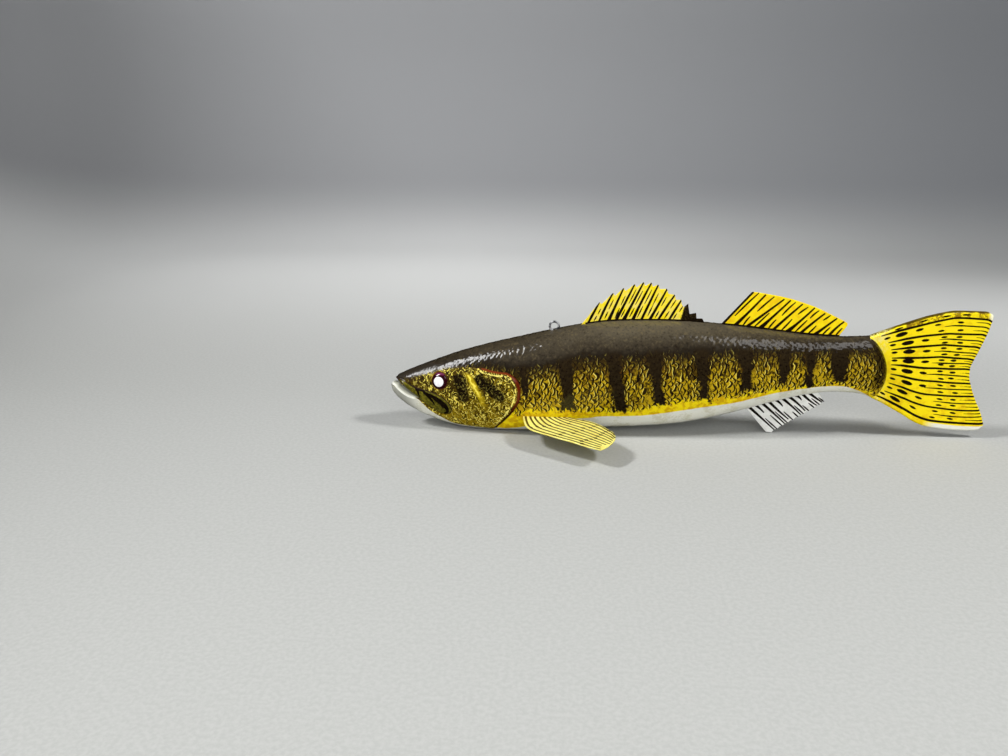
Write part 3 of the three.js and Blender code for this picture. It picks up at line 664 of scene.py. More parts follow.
def scale_grid(form, points):
    """Each point's place on the grid of scales: scales along the body, and half scales from mid side."""
    stations = points[:, :, 0].mean(axis=1)
    pitch = mm(form.sizes.scale_pitch) * (1 - 0.1 * smooth(-60, 110, stations))
    steps = np.diff(stations, prepend=stations[0])
    along = np.cumsum(steps / pitch)[:, None] * np.ones(points.shape[1])
    closed = np.concatenate([points, points[:, :1]], axis=1)
    arc = np.linalg.norm(np.diff(closed, axis=1), axis=2)
    total = arc.sum(axis=1, keepdims=True)
    from_ridge = np.abs(np.cumsum(arc, axis=1) - arc - total / 2)
    around = 2 * (from_ridge - total / 4) / mm(form.sizes.scale_height)
    flat = points.reshape(-1, 3)
    for grid, coarse, fine, seed in ((along, 0.24, 0.2, 3), (around, 0.36, 0.3, 5)):
        uneven = coarse * waves(flat, 26, seed=seed) + fine * waves(flat, 8, seed=seed + 1)
        grid += uneven.reshape(grid.shape)
    return along, around


def carve(form, points, fields):
    """Moves the plain form's points to cut the gill cover, cheek, jaw, eye socket and mouth."""
    sizes = form.sizes
    normals = grid_normals(points).reshape(-1, 3)
    spots = points.reshape(-1, 3).copy()
    x, y, z = spots.T
    gill, cheek, maxilla, mouth, eye = (fields[name] for name in ("gill", "cheek", "maxilla", "mouth", "eye"))
    # The gill cover stands above the shoulder, with a raised lip and a groove along its edge
    gill_fade = smooth(49.5, 45, z) * smooth(0.5, 5, z)
    lift = -mm(sizes.gill_step) * gill_fade * smooth(-0.35, 0.35, gill) * (1 - smooth(1.0, 6.5, gill))
    lift += gill_fade * (0.32 * bell(gill + 1.6, 1.7) - 0.35 * bell(gill, 0.55))
    # The cheek has a ridge with a groove behind it, and the jaw's plate a groove round it
    cheek_fade = smooth(47, 43, z) * smooth(13, 27, z)
    lift += cheek_fade * (0.45 * bell(cheek + 0.4, 1.3) - 0.4 * bell(cheek - 1.9, 1.1))
    lift += 0.75 * smooth(-0.3, 1.3, maxilla) - 0.45 * bell(maxilla + 0.5, 0.6)
    # The eye sits in a shallow socket, and the knife leaves the wood a little uneven
    lift -= 1.1 * smooth(6.5, 5.8, eye) - 0.3 * bell(eye - 7.0, 0.7)
    lift += 0.05 * waves(spots, 7, count=7)
    lift *= smooth(form.x(0.0005), form.x(0.012), x) * (1 - smooth(-1.5, 0.5, mouth))
    lift *= smooth(0, END_RINGS, np.repeat(np.arange(len(points))[::-1], points.shape[1]))
    spots += normals * lift[:, None]
    # The open mouth is cut in square to the jaw's sides
    slope = (form.half_width(x + 0.3) - form.half_width(x - 0.3)) / 0.6
    depth = mm(sizes.mouth_depth) * smooth(-0.15, 0.75, mouth)
    length = np.hypot(slope, 1)
    spots[:, 0] += depth * slope / length
    spots[:, 1] -= np.sign(y) * np.minimum(depth / length, np.maximum(np.abs(y) - 0.25, 0))
    spots[:, 2] = np.maximum(spots[:, 2], 0)
    return spots


def scale_depth(form, spots, fields):
    """How deeply the scales are cut at each point, from 0 to 1."""
    x, _, z = spots.T
    depth = smooth(2.5, 6, fields["gill"]) * smooth(-2, 3, fields["band"]) * (1 - smooth(120, 128, x))
    return depth * smooth(2, 8, z - form.belly(x))


def body_mesh(sizes):
    """The body as one closed mesh, with its paint distances and its grid of scales."""
    form = Form(sizes)
    points = body_grid(form)
    rows, columns = points.shape[:2]
    fields = body_fields(points.reshape(-1, 3))
    along, around = (grid.ravel() for grid in scale_grid(form, points))
    spots = carve(form, points, fields)
    fields.update(along=along, around=around, relief=scale_depth(form, spots, fields))
    fields = {name: np.append(values, [values[0], values[-1]]) for name, values in fields.items()}
    snout = np.array([form.x(0), 0, form.back(form.x(0))])
    spots = np.vstack([spots, snout, form.stern()])
    quads = grid_faces(rows, columns, closed=True)
    ring = np.arange(columns)
    following = (ring + 1) % columns
    nose = np.stack([ring, following, ring], axis=-1)
    stern = (rows - 1) * columns + np.stack([ring, ring, following], axis=-1)
    uv = np.stack([along, around], axis=-1)[np.concatenate([quads.ravel(), nose.ravel(), stern.ravel()])]
    nose[:, 0] = rows * columns
    stern[:, 0] = rows * columns + 1
    return mesh_object("body_blank", spots, quads.tolist() + nose.tolist() + stern.tolist(), fields, uv)


def patch(low, high, front, rear):
    """A surface spanned between four lines: share along, share upward to a point."""

    def at(u, v):
        u, v = np.broadcast_arrays(np.asarray(u, float), np.asarray(v, float))
        a, b = u[..., None], v[..., None]
        front_corners = (1 - b) * front(0.0) + b * front(1.0)
        rear_corners = (1 - b) * rear(0.0) + b * rear(1.0)
        corners = (1 - a) * front_corners + a * rear_corners
        return (1 - b) * low(u) + b * high(u) + (1 - a) * front(v) + a * rear(v) - corners

    return at


def slab(name, surface, place, thickness, u, v, rounding, fields):
    """A closed sheet over a patch: two faces that meet in a rounded edge. place turns points of the plane and
    heights off it into solid points, and fields gives the values at the plane's points."""
    uu, vv = np.meshgrid(u, v, indexing="ij")
    flat = surface(uu, vv)
    rows, columns = uu.shape
    outline = np.vstack([flat[0, :], flat[1:, -1], flat[-1, -2::-1], flat[-2:0:-1, 0], flat[:1, 0]])
    spots = flat.reshape(-1, 2)
    border = np.zeros((rows, columns), bool)
    border[[0, -1], :] = True
    border[:, [0, -1]] = True
    border = border.ravel()
    gap = line_distance(spots, outline)[0]
    gap[border] = 0
    half = thickness(spots) / 2 * np.sqrt(1 - (1 - np.clip(gap / rounding, 0, 1)) ** 2)
    points = np.vstack([place(spots, -half), place(spots, half)[~border]])
    behind = np.arange(rows * columns)
    behind[~border] = rows * columns + np.arange((~border).sum())
    quads = grid_faces(rows, columns)
    faces = np.vstack([quads, behind[quads][:, ::-1]])
    values = fields(spots, uu.ravel(), vv.ravel())
    values = {key: np.concatenate([value, value[~border]]) for key, value in values.items()}
    piece = mesh_object(name, points, faces.tolist(), values)
    face_outward(piece.data)
    return piece


def face_outward(mesh):
    """Turns a closed mesh's faces outward if its volume comes out below zero."""
    points = np.zeros(len(mesh.vertices) * 3)
    mesh.vertices.foreach_get("co", points)
    mesh.calc_loop_triangles()
    corners = np.zeros(len(mesh.loop_triangles) * 3, int)
    mesh.loop_triangles.foreach_get("vertices", corners)
    a, b, c = (points.reshape(-1, 3)[corners.reshape(-1, 3)[:, k]] for k in range(3))
    if np.einsum("ij,ij->i", a, np.cross(b, c)).sum() < 0:
        mesh.flip_normals()


def spread(count, crowd):
    """Shares from 0 to 1 that stand closer together near both ends, the more so the higher crowd is."""
    t = np.linspace(0, 1, count)
    return (1 - crowd) * t + crowd * (0.5 - 0.5 * np.cos(np.pi * t))


def in_middle_plane(spots, off):
    """Points of the fish's middle plane, moved off it."""
    return np.stack([spots[:, 0], off, spots[:, 1]], axis=-1)


def stroke_depth(spots, strokes):
    """How deep each spot lies inside the nearest brush stroke: a line of points and its half widths."""
    depth = np.full(len(spots), -FAR)
    for line, widths in strokes:
        line = np.array(line, float)
        low, high = line.min(0) - STROKE_MARGIN, line.max(0) + STROKE_MARGIN
        near = np.all((spots >= low) & (spots <= high), axis=1)
        gap, share = line_distance(spots[near], line)
        half = np.interp(share, np.linspace(0, 1, len(widths)), widths)
        depth[near] = np.maximum(depth[near], half - gap)
    return depth


def tail_fields(surface, u, v):
    """Paint of the tail fin: rays that fan from the root, and between them rows of dots and short rays."""
    random = np.random.default_rng(SEED)
    ink = np.full(len(u), -FAR)

    def stretch(du, dv):
        """Millimetres on the fin for one share along or one share upward."""
        ahead = np.clip(u + du, 0, 1), np.clip(v + dv, 0, 1)
        behind = np.clip(u - du, 0, 1), np.clip(v - dv, 0, 1)
        run = (ahead[0] - behind[0]) + (ahead[1] - behind[1])
        return np.linalg.norm(surface(*ahead) - surface(*behind), axis=-1) / run

    reach, height = stretch(1e-3, 0), stretch(0, 1e-3)

    def ray(at, start, stop, wide, narrow, sway=0.004):
        wobble = sway * np.sin(u * random.uniform(7, 12) + random.uniform(0, 6))
        half = np.interp(u, [start, start + 0.12, 0.7, stop], [narrow, wide, 0.8 * wide, 0.75 * wide])
        across = np.abs(v - at - wobble) * height
        ends = np.minimum(u - start, stop - u) * reach
        np.maximum(ink, np.minimum(half - across, ends * 0.6 + 0.1), out=ink)

    def dot(at_u, at_v, long_half, high_half):
        lean = random.normal(0, 0.04)
        du = (u - at_u - random.normal(0, 0.006)) * reach
        dv = (v - at_v - random.normal(0, 0.003)) * height
        away = np.hypot(du / long_half, (dv - lean * du) / high_half)
        np.maximum(ink, (1 - away) * high_half, out=ink)

    for index, at in enumerate(TAIL_RAYS):
        wide, narrow = TAIL_LONG_RAY if index else TAIL_LOW_RAY
        ray(at, TAIL_RAY_START - TAIL_RAY_BOW * (at - 0.5) ** 2, 1.0, wide, narrow)
    for low, high in zip(TAIL_RAYS, TAIL_RAYS[1:]):
        middle = (low + high) / 2
        ray(middle, random.uniform(0.63, 0.7), 0.995, 0.68, 0.25, 0.003)
        for quarter in (0.25, 0.75):
            ray(low + quarter * (high - low), random.uniform(0.875, 0.93), 0.992, 0.52, 0.2, 0.002)
        for along, bow, long_half, high_half in TAIL_DOT_ROWS:
            dot(along - bow * (middle - 0.5) ** 2, middle + 0.01, long_half, high_half)
        for along, bow, long_half, high_half in TAIL_CLOSE_ROWS:
            for quarter in (0.26, 0.74):
                at = low + quarter * (high - low)
                dot(along - bow * (at - 0.5) ** 2, at, long_half, high_half)
    for along in TAIL_TOP_DOTS:
        dot(along, 0.973, 3.0, 0.7)
    return {"ink": ink, "along": u, "upward": v}


def tail_mesh(sizes):
    """The tail fin: a slab carved in one with the body, thinning to the rear."""
    form = Form(sizes)
    low, high, rear = (
        along_path(rounded([(form.x(a), b * form.crown) for a, b in line]))
        for line in (TAIL_BOTTOM, TAIL_TOP, TAIL_REAR)
    )
    surface = patch(low, high, along_path([low(0.0), high(0.0)]), rear)
    reach = [form.x(BODY_END), form.x(1)]

    def thickness(spots):
        return np.interp(spots[:, 0], reach, [mm(sizes.tail_root), mm(sizes.tail_edge)])

    def fields(spots, u, v):
        return tail_fields(surface, u, v)

    u, v = (spread(count, 0.5) for count in TAIL_GRID)
    return slab("carved_tail", surface, in_middle_plane, thickness, u, v, TAIL_ROUNDING, fields)


def painted_fin(name, surface, sheet, grid, strokes, place=in_middle_plane, more_fields=None):
    """A sheet-metal fin whose rays are brush strokes."""

    def fields(spots, u, v):
        values = {"ink": stroke_depth(spots, strokes)}
        if more_fields:
            values.update(more_fields(spots))
        return values

    def thickness(spots):
        return np.full(len(spots), sheet)

    u, v = spread(grid[0], 0.3), spread(grid[1], 0.45)
    return slab(name, surface, place, thickness, u, v, SHEET_ROUNDING, fields)


def fin_surface(foot, sunk, start, length, edge, front=(), rear=()):
    """A fin in the middle plane. Its root lies sunk from the body's line foot, in a slot, and points in front
    and rear shape its two ends."""
    root = [(x, foot(x) + sunk) for x in np.linspace(start, start + length, 30)]
    front = along_path([root[0], (start, foot(start)), *front, edge[0]])
    rear = rounded([root[-1], *rear]) if rear else [root[-1], edge[-1]]
    return patch(along_path(root), along_path(edge), front, along_path(rear))


def foot_stroke(form, start, end, widths):
    """A brush stroke along the back at the foot of a fin."""
    return np.array([(x, form.back(x) + 0.35) for x in np.linspace(start, end, 24)]), widths


def brush(start, end, *half_widths, bend=0.0):
    """A brush stroke between two points that bows sideways by bend."""
    start, end = np.array(start, float), np.array(end, float)
    t = np.linspace(0, 1, 7)[:, None]
    side = np.array([-(end - start)[1], (end - start)[0]]) / max(np.linalg.norm(end - start), 1e-9)
    return start + t * (end - start) + bend * 4 * t * (1 - t) * side, half_widths


def spiny_fin(body, fins):
    """First fin of the back: an arched row of spines that lean back."""
    form = Form(body)
    random = np.random.default_rng(SEED)
    length, height = mm(fins.spiny_length), mm(fins.spiny_height)
    start = form.x(SPINY_START)
    arch = curve_through(SPINY_ARCH)

    def lay(share, rise):
        x = start + share * length
        return x, form.back(x) + rise * height

    edge = []
    for tip, following in zip(SPINE_TIPS, [*SPINE_TIPS[1:], SPINY_REAR[0][0]]):
        edge.append(lay(tip, arch(tip)))
        valley = tip + SPINE_VALLEY * (following - tip)
        edge.append(lay(valley, arch(valley) - mm(fins.spine_notch) / height))
    edge += [lay(*point) for point in SPINY_REAR]
    surface = fin_surface(form.back, -mm(fins.slot_depth), start, length, edge)
    strokes = []
    for foot_share, tip_share, foot_half in zip(SPINE_FEET, SPINE_TIPS, SPINE_FOOT_HALVES):
        foot = np.array(lay(foot_share, 0.0))
        reach = np.array(lay(tip_share, arch(tip_share))) - foot
        strokes.append(brush(foot, foot + reach, foot_half, 0.92, 0.8, 0.55, bend=random.normal(0, 0.25)))
        for low, high, half in SPINE_MARKS:
            begin = foot + reach * (low + random.uniform(0, 0.1)) + np.array([random.uniform(2.2, 3.6), 0])
            end = begin + reach * (high - low) * random.uniform(0.7, 1.1)
            strokes.append(brush(begin, end, 0.2, half, 0.2))
    strokes.append(foot_stroke(form, start + 3, start + length, (0.55, 0.75, 0.6, 0.8, 0.6)))

    def dark_rear(spots):
        leaning = (spots[:, 1] - form.back(spots[:, 0])) * 0.25
        return {"dark": spots[:, 0] - leaning - (start + SPINY_DARK * length)}

    return painted_fin("spiny_fin", surface, mm(fins.sheet), SPINY_GRID, strokes, more_fields=dark_rear)


def soft_fin(body, fins):
    """Second fin of the back: a straight leaning front, a long falling edge and a blunt rear corner."""
    form = Form(body)
    random = np.random.default_rng(SEED + 1)
    length, height = mm(fins.soft_length), mm(fins.soft_height)
    start = form.x(SOFT_START)

    def lay(share, rise):
        x = start + share * length
        return x, form.back(min(x, start + length)) + rise * height

    edge = rounded([lay(*point) for point in SOFT_EDGE])
    rear = [lay(*point) for point in SOFT_REAR]
    surface = fin_surface(form.back, -mm(fins.slot_depth), start, length, edge, rear=rear)
    strokes = [brush(lay(0.01, 0.02), lay(0.243, 0.985), 1.3, 1.15, 1.05, 1.0)]
    for foot, tip, base_half in SOFT_RAYS:
        bend = random.normal(0.25, 0.25)
        strokes.append(brush(lay(*foot), lay(*tip), base_half + 0.15, 0.92, 0.76, 0.6, bend=bend))
    for low, high in SOFT_STROKES:
        strokes.append(brush(lay(*low), lay(*high), 0.4, 0.68, 0.6, 0.4, bend=random.normal(0, 0.2)))
    strokes.append(foot_stroke(form, start + 0.5, start + length, (0.7, 0.9, 0.7, 0.9, 0.8)))
    return painted_fin("soft_fin", surface, mm(fins.sheet), SOFT_GRID, strokes)


def anal_fin(body, fins):
    """Fin under the tail stalk, its ray ends standing out along the lower edge."""
    form = Form(body)
    random = np.random.default_rng(SEED + 2)
    length = mm(fins.anal_length)
    start = form.x(ANAL_START)
    tip = np.array([start + ANAL_TIP[0] * length, ANAL_TIP[1]])
    corner = np.array([start + ANAL_CORNER * length, form.belly(start + length) - mm(fins.anal_drop)])
    edge = [tip]
    for tooth in range(1, fins.anal_teeth + 1):
        valley = (tooth - 0.35) / fins.anal_teeth
        edge.append(tip + (corner - tip) * valley + np.array([0, mm(fins.anal_tooth)]))
        edge.append(tip + (corner - tip) * tooth / fins.anal_teeth)
    front = [(start + ANAL_FRONT[0] * length, ANAL_FRONT[1])]
    surface = fin_surface(form.belly, mm(fins.slot_depth), start, length, edge, front=front)
    lower = along_path(edge)
    strokes = []
    for index in range(ANAL_RAYS):
        share = 0.1 * index
        foot_x = start + (0.05 + share) * length
        foot = np.array([foot_x, form.belly(foot_x) - 0.2])
        toe = lower(min(0.06 + share, 1.0))
        reach = 0.34 if index % 3 == 1 else random.uniform(0.9, 1.0)
        bend = random.normal(0, 0.3)
        strokes.append(brush(foot, foot + (toe - foot) * reach, 1.05, 0.85, 0.66, 0.45, bend=bend))
        beside = lower(min(0.11 + share, 1.0))
        begin = beside + (foot + np.array([2.4, 0]) - beside) * random.uniform(0.3, 0.6)
        strokes.append(brush(begin, beside, 0.3, 0.6, 0.42))
    return painted_fin("anal_fin_sheet", surface, mm(fins.sheet), ANAL_GRID, strokes)


def pectoral_fin(body, fins, hand):
    """A paddle let into the side of the body, swept back, out and a little down."""
    form = Form(body)
    random = np.random.default_rng(SEED + 3)
    length, span, root_length = mm(fins.pectoral_length), mm(fins.pectoral_span), mm(fins.pectoral_root)
    x, z = form.x(PECTORAL_PLACE[0]), PECTORAL_PLACE[1] * form.crown
    root = np.array([x, hand * form.side(x, z), z])
    droop = fins.pectoral_droop
    outward = np.array([0, hand * math.cos(droop), -math.sin(droop)])
    upward = np.array([0, hand * math.sin(droop), math.cos(droop)])

    def place(spots, off):
        ahead, out = np.clip(spots[:, 0] / length, 0, 1), np.clip(spots[:, 1] / span, 0, 1)
        cup = PADDLE_CUP * np.sin(np.pi * out) * ahead
        along = np.array([1.0, 0, 0]) * spots[:, :1]
        return root + along + outward * spots[:, 1:] + upward * (off + cup)[:, None]

    def scaled(points):
        return [(a * length, b * span) for a, b in points]

    slot = [(0, -mm(fins.slot_depth)), (root_length, -mm(fins.slot_depth))]
    front, rear, end = (
        along_path(rounded(points))
        for points in ([slot[0], *scaled(PADDLE_FRONT)], [slot[1], *scaled(PADDLE_REAR)], scaled(PADDLE_END))
    )
    surface = patch(front, rear, along_path(slot), end)
    strokes = []
    for across in np.linspace(0.05, 0.95, PADDLE_RAYS):
        shares = np.linspace(0.05, random.uniform(0.93, 0.99), 18)
        sway = 0.006 * np.sin(shares * 9 + random.uniform(0, 6))
        line = surface(shares, np.clip(across + sway, 0, 1))
        strokes.append((line, (0.8, 0.75, 0.66, 0.6, 0.52)))
        for joint in PADDLE_JOINTS:
            middle = joint + random.normal(0, 0.025)
            mark = surface(np.array([middle - 0.02, middle + 0.02]), np.full(2, across))
            strokes.append((mark, (0.6, random.uniform(1.0, 1.45), 0.6)))
    name = "pectoral_left" if hand < 0 else "pectoral_right"
    return painted_fin(name, surface, mm(fins.sheet), PADDLE_GRID, strokes, place=place)


class Wire:
    """A value inside a node tree; arithmetic on it adds Math nodes."""

    def __init__(self, tree, socket):
        self.tree = tree
        self.socket = socket

    def math(self, operation, *others):
        """The result of one Math node."""
        inputs = dict(enumerate((self, *others)))
        return node_wire(self.tree, "ShaderNodeMath", inputs, operation=operation)

    def __add__(self, other):
        return self.math("ADD", other)

    def __sub__(self, other):
        return self.math("SUBTRACT", other)

    def __rsub__(self, other):
        return self * -1 + other

    def __mul__(self, other):
        return self.math("MULTIPLY", other)

    def sway(self, reach):
        """A share from 0 to 1 made a distance of reach in all, half of it either way about zero."""
        return (self - 0.5) * reach

    def step(self, low, high):
        """Rises smoothly from 0 at low to 1 at high, or falls where low is above high."""
        inputs = {"From Min": min(low, high), "From Max": max(low, high), "Value": self}
        inputs.update({"To Min": float(low > high), "To Max": float(low <= high)})
        return node_wire(self.tree, "ShaderNodeMapRange", inputs, interpolation_type="SMOOTHSTEP")

    def near(self, middle, half):
        """1 where the value lies within half of the middle, with a soft edge."""
        return (self - middle).math("ABSOLUTE").step(half * 1.25, half * 0.75)


def feed(tree, value, socket):
    """Links a wire to a socket, or writes a plain value, a colour or a paint's name there."""
    if isinstance(value, Wire):
        tree.links.new(value.socket, socket)
    elif socket.type == "RGBA":
        socket.default_value = (*(srgb(*PAINTS[value]) if isinstance(value, str) else value), 1.0)
    else:
        socket.default_value = value


def add_node(tree, kind, inputs=None, **settings):
    """A new node with its settings; inputs are fed by name or number."""
    node = tree.nodes.new(kind)
    for name, value in settings.items():
        setattr(node, name, value)
    for key, value in (inputs or {}).items():
        feed(tree, value, node.inputs[key])
    return node


def node_wire(tree, kind, inputs=None, output=0, **settings):
    """The wire from one output of a new node."""
    return Wire(tree, add_node(tree, kind, inputs, **settings).outputs[output])


class Finish:
    """A painted and varnished material under construction. Places and fields are in millimetres."""

    def __init__(self, name, roughness=0.45, coat=0.0, coat_roughness=0.1, metallic=0.0, specular=0.3):
        self.material = bpy.data.materials.new(name)
        self.material.use_nodes = True
        self.tree = self.material.node_tree
        self.shader = self.tree.nodes["Principled BSDF"]
        for socket, value in (
            ("Roughness", roughness), ("Coat Weight", coat), ("Coat Roughness", coat_roughness),
            ("Metallic", metallic), ("Specular IOR Level", specular),
        ):
            self.shader.inputs[socket].default_value = value
        self.place = self.scaled(self.wire("ShaderNodeTexCoord", output="Object"), (1 / MM,) * 3)

    def wire(self, kind, inputs=None, output=0, **settings):
        """The wire from one output of a new node of the material."""
        return node_wire(self.tree, kind, inputs, output, **settings)

    def scaled(self, vector, factors):
        """Places stretched by a factor along each axis."""
        return self.wire("ShaderNodeVectorMath", {0: vector, 1: factors}, operation="MULTIPLY")

    def fields(self, *names):
        """Values that the mesh holds at its points."""
        return [self.wire("ShaderNodeAttribute", output="Fac", attribute_name=name) for name in names]

    def noise(self, pitch, detail=2.0, roughness=0.5, distortion=0.0, stretch=(1, 1, 1)):
        """Noise from 0 to 1 whose features are about pitch millimetres across."""
        place = self.scaled(self.place, tuple(share / pitch for share in stretch))
        inputs = {"Vector": place, "Scale": 1.0, "Detail": detail}
        inputs.update({"Roughness": roughness, "Distortion": distortion})
        return self.wire("ShaderNodeTexNoise", inputs, output="Fac")

    def layers(self, paint, *tops):
        """Paints laid over each other; each top is a paint and the share of it that covers."""
        for top, share in tops:
            node = add_node(self.tree, "ShaderNodeMix", {"Factor": share}, data_type="RGBA")
            base_socket, top_socket = (socket for socket in node.inputs if socket.type == "RGBA")
            feed(self.tree, paint, base_socket)
            feed(self.tree, top, top_socket)
            paint = Wire(self.tree, next(socket for socket in node.outputs if socket.type == "RGBA"))
        return paint

    def split(self, vector):
        """The three parts of a vector."""
        node = add_node(self.tree, "ShaderNodeSeparateXYZ", {0: vector})
        return [Wire(self.tree, socket) for socket in node.outputs]

    def chance(self, *values):
        """A random share from 0 to 1 that is the same wherever the three values are."""
        place = self.wire("ShaderNodeCombineXYZ", dict(enumerate(values)))
        return self.wire("ShaderNodeTexWhiteNoise", {"Vector": place}, output="Value")

    def bump(self, height, distance_mm, strength):
        """Fine relief under the varnish; height is 0 to 1."""
        inputs = {"Strength": strength, "Distance": distance_mm * MM, "Height": height}
        normal = self.wire("ShaderNodeBump", inputs)
        feed(self.tree, normal, self.shader.inputs["Normal"])
        feed(self.tree, normal, self.shader.inputs["Coat Normal"])

    def done(self, paint):
        """The material in its paint."""
        feed(self.tree, paint, self.shader.inputs["Base Color"])
        return self.material


def scale_cell(along, around):
    """The scale that a spot lies on: how far ahead of its rear edge the spot is, the share across the scale,
    and the scale's place along and around."""
    found = []
    for shift in (0.0, 0.5):
        row = (around + 2 * shift) * 0.5
        across = row.math("FRACT") * 2 - 1
        rise = along + across * across * SCALE_BOW + shift
        number = rise.math("CEIL")
        found.append((number - rise, across, number - shift, row.math("FLOOR") * 2 - 2 * shift))
    near, far = found
    choose = far[2].math("LESS_THAN", near[2])
    return [a + (b - a) * choose for a, b in zip(near, far)]


def scale_marks(finish, fine):
    """Brush marks on the scales: a dark crescent at each rear edge and a bright stroke beside it, partly
    bright paint and partly a painted glint of light on the edge, and each scale's lot, a random share of its
    own."""
    uv = finish.wire("ShaderNodeUVMap", uv_map="scales")
    along, around, _ = finish.split(uv)
    edge, across, front, row = scale_cell(along, around)
    lot = finish.chance(front, row, 0.5)
    bow = across * across
    width = (lot * 0.12 + 0.24) * (1 - bow * 0.5) + fine.sway(0.14)
    arcs = (width - edge).step(-0.03, 0.04) * lot.step(0.04, 0.1) * (bow + lot * 0.35).step(1.15, 0.8)
    glint = (edge - width).near(0.06, 0.045) * (fine + lot * 0.6).step(0.76, 0.9) * bow.step(0.7, 0.4)
    return arcs, glint, lot


def body_finish(body):
    """Paint of the carved body: white belly, yellow band, gold scales with dark bars, dark back and head; the
    crest has a painted sheen, and the belly's foot, the lower jaw's tip and the inside of the mouth have
    painted shade.
    """
    finish = Finish("body_paint", roughness=0.5, coat=0.8, coat_roughness=0.12, specular=0.05)
    ink = body.ink_paint[:]
    fine = finish.noise(1.5, 2, 0.55)
    dabs = finish.noise(3.4, 2, 0.5, 0.5)
    drift = finish.noise(10, 2, 0.5)
    band, back, white, gill, bars = finish.fields("band", "back", "white", "gill", "bars")
    place_x, _, height = finish.split(finish.place)
    arcs, glint, lot = scale_marks(finish, fine)

    mottle = finish.layers(
        # The back is darker along its foot
        "back_foot_dark",
        (body.back_paint[:], (back + dabs.sway(8)).step(0, 10)),
        # Painted sheen: the crest is lighter grey from the shoulder back, where the varnish catches the light
        # from above
        ("crest_painted_sheen", (back + drift.sway(8)).step(7, 19) * place_x.step(-125, -40)),
        ("fawn", (fine + dabs * 0.5).step(0.76, 1.0) * back.step(2, 9) * 0.3),
        ("pits", (fine + dabs * 0.5).step(0.7, 0.5) * 0.5),
    )
    yellow = finish.layers(body.yellow_paint[:], ("amber", (dabs + drift * 0.5).step(0.62, 0.9) * 0.75))
    bar_paint = finish.layers("bar", ("bar_dark", (fine + dabs * 0.4).step(0.45, 0.95)))
    marked = (band + dabs.sway(6)).step(-2.6, -0.6)
    gold = dabs * 0.9 + fine * 0.7 + drift * 0.5 + lot * 0.22 + band * -0.008
    ragged = bars + dabs.sway(8) + fine.sway(5) + lot.sway(2.4)
    flank = finish.layers(
        body.olive_paint[:],
        (body.gold_paint[:], gold.step(0.8, 1.12)),
        ("rust", (drift + lot * 0.2).step(0.6, 0.72) * band.step(8, 20) * 0.5),
        (yellow, (band + dabs.sway(7) + fine.sway(8) + lot.sway(2)).step(1.4, -1.0)),
        # Bright strokes beside the crescents: partly bright paint, partly a painted glint of light on the
        # scales' edges
        ("glint", glint * marked * 0.75),
        (ink, arcs * marked * 0.97),
        ("shade", (back + dabs.sway(12) + drift.sway(12)).step(-13, -1) * 0.62),
        (mottle, (back + dabs.sway(16) + drift.sway(12)).step(-4, 4)),
        (bar_paint, ragged.step(-1.3, 0.6) * back.step(7, 0)),
    )
    belly = finish.layers(
        body.white_paint[:],
        ("cream", (drift + fine * 0.6).step(0.75, 1.0) * 0.6),
        # Painted shade on the lower jaw's tip, which faces down and away from the lamps: the white turns grey
        # towards it
        ("jaw_tip_painted_shade", place_x.step(-184, -202) * 0.9),
        # Painted shade where the belly meets the table: the white darkens over its lowest few millimetres
        ("contact_painted_shade", height.step(3.2, 0.6) * 0.8),
    )
    head = head_paint(finish, body, dabs, fine, drift)
    paint = finish.layers(flank, *head, (belly, (white + drift.sway(0.9)).step(0.25, -0.25)))
    stalk = place_x.step(124, 131) * back.step(-29, -19) * (dabs + fine * 0.5).step(0.5, 0.75)
    paint = finish.layers(paint, *jaw_paint(finish, body, dabs, fine), (ink, stalk * 0.9))
    lumps = finish.noise(1.7, 1, 0.4, 0.3, stretch=(1.25, 1, 0.5)) * back.step(-3, 2) * gill.step(12, 0)
    finish.bump(fine * 0.35 + dabs * 0.4 + lumps * 2.0, 0.18, 0.6)
    return finish.done(paint)


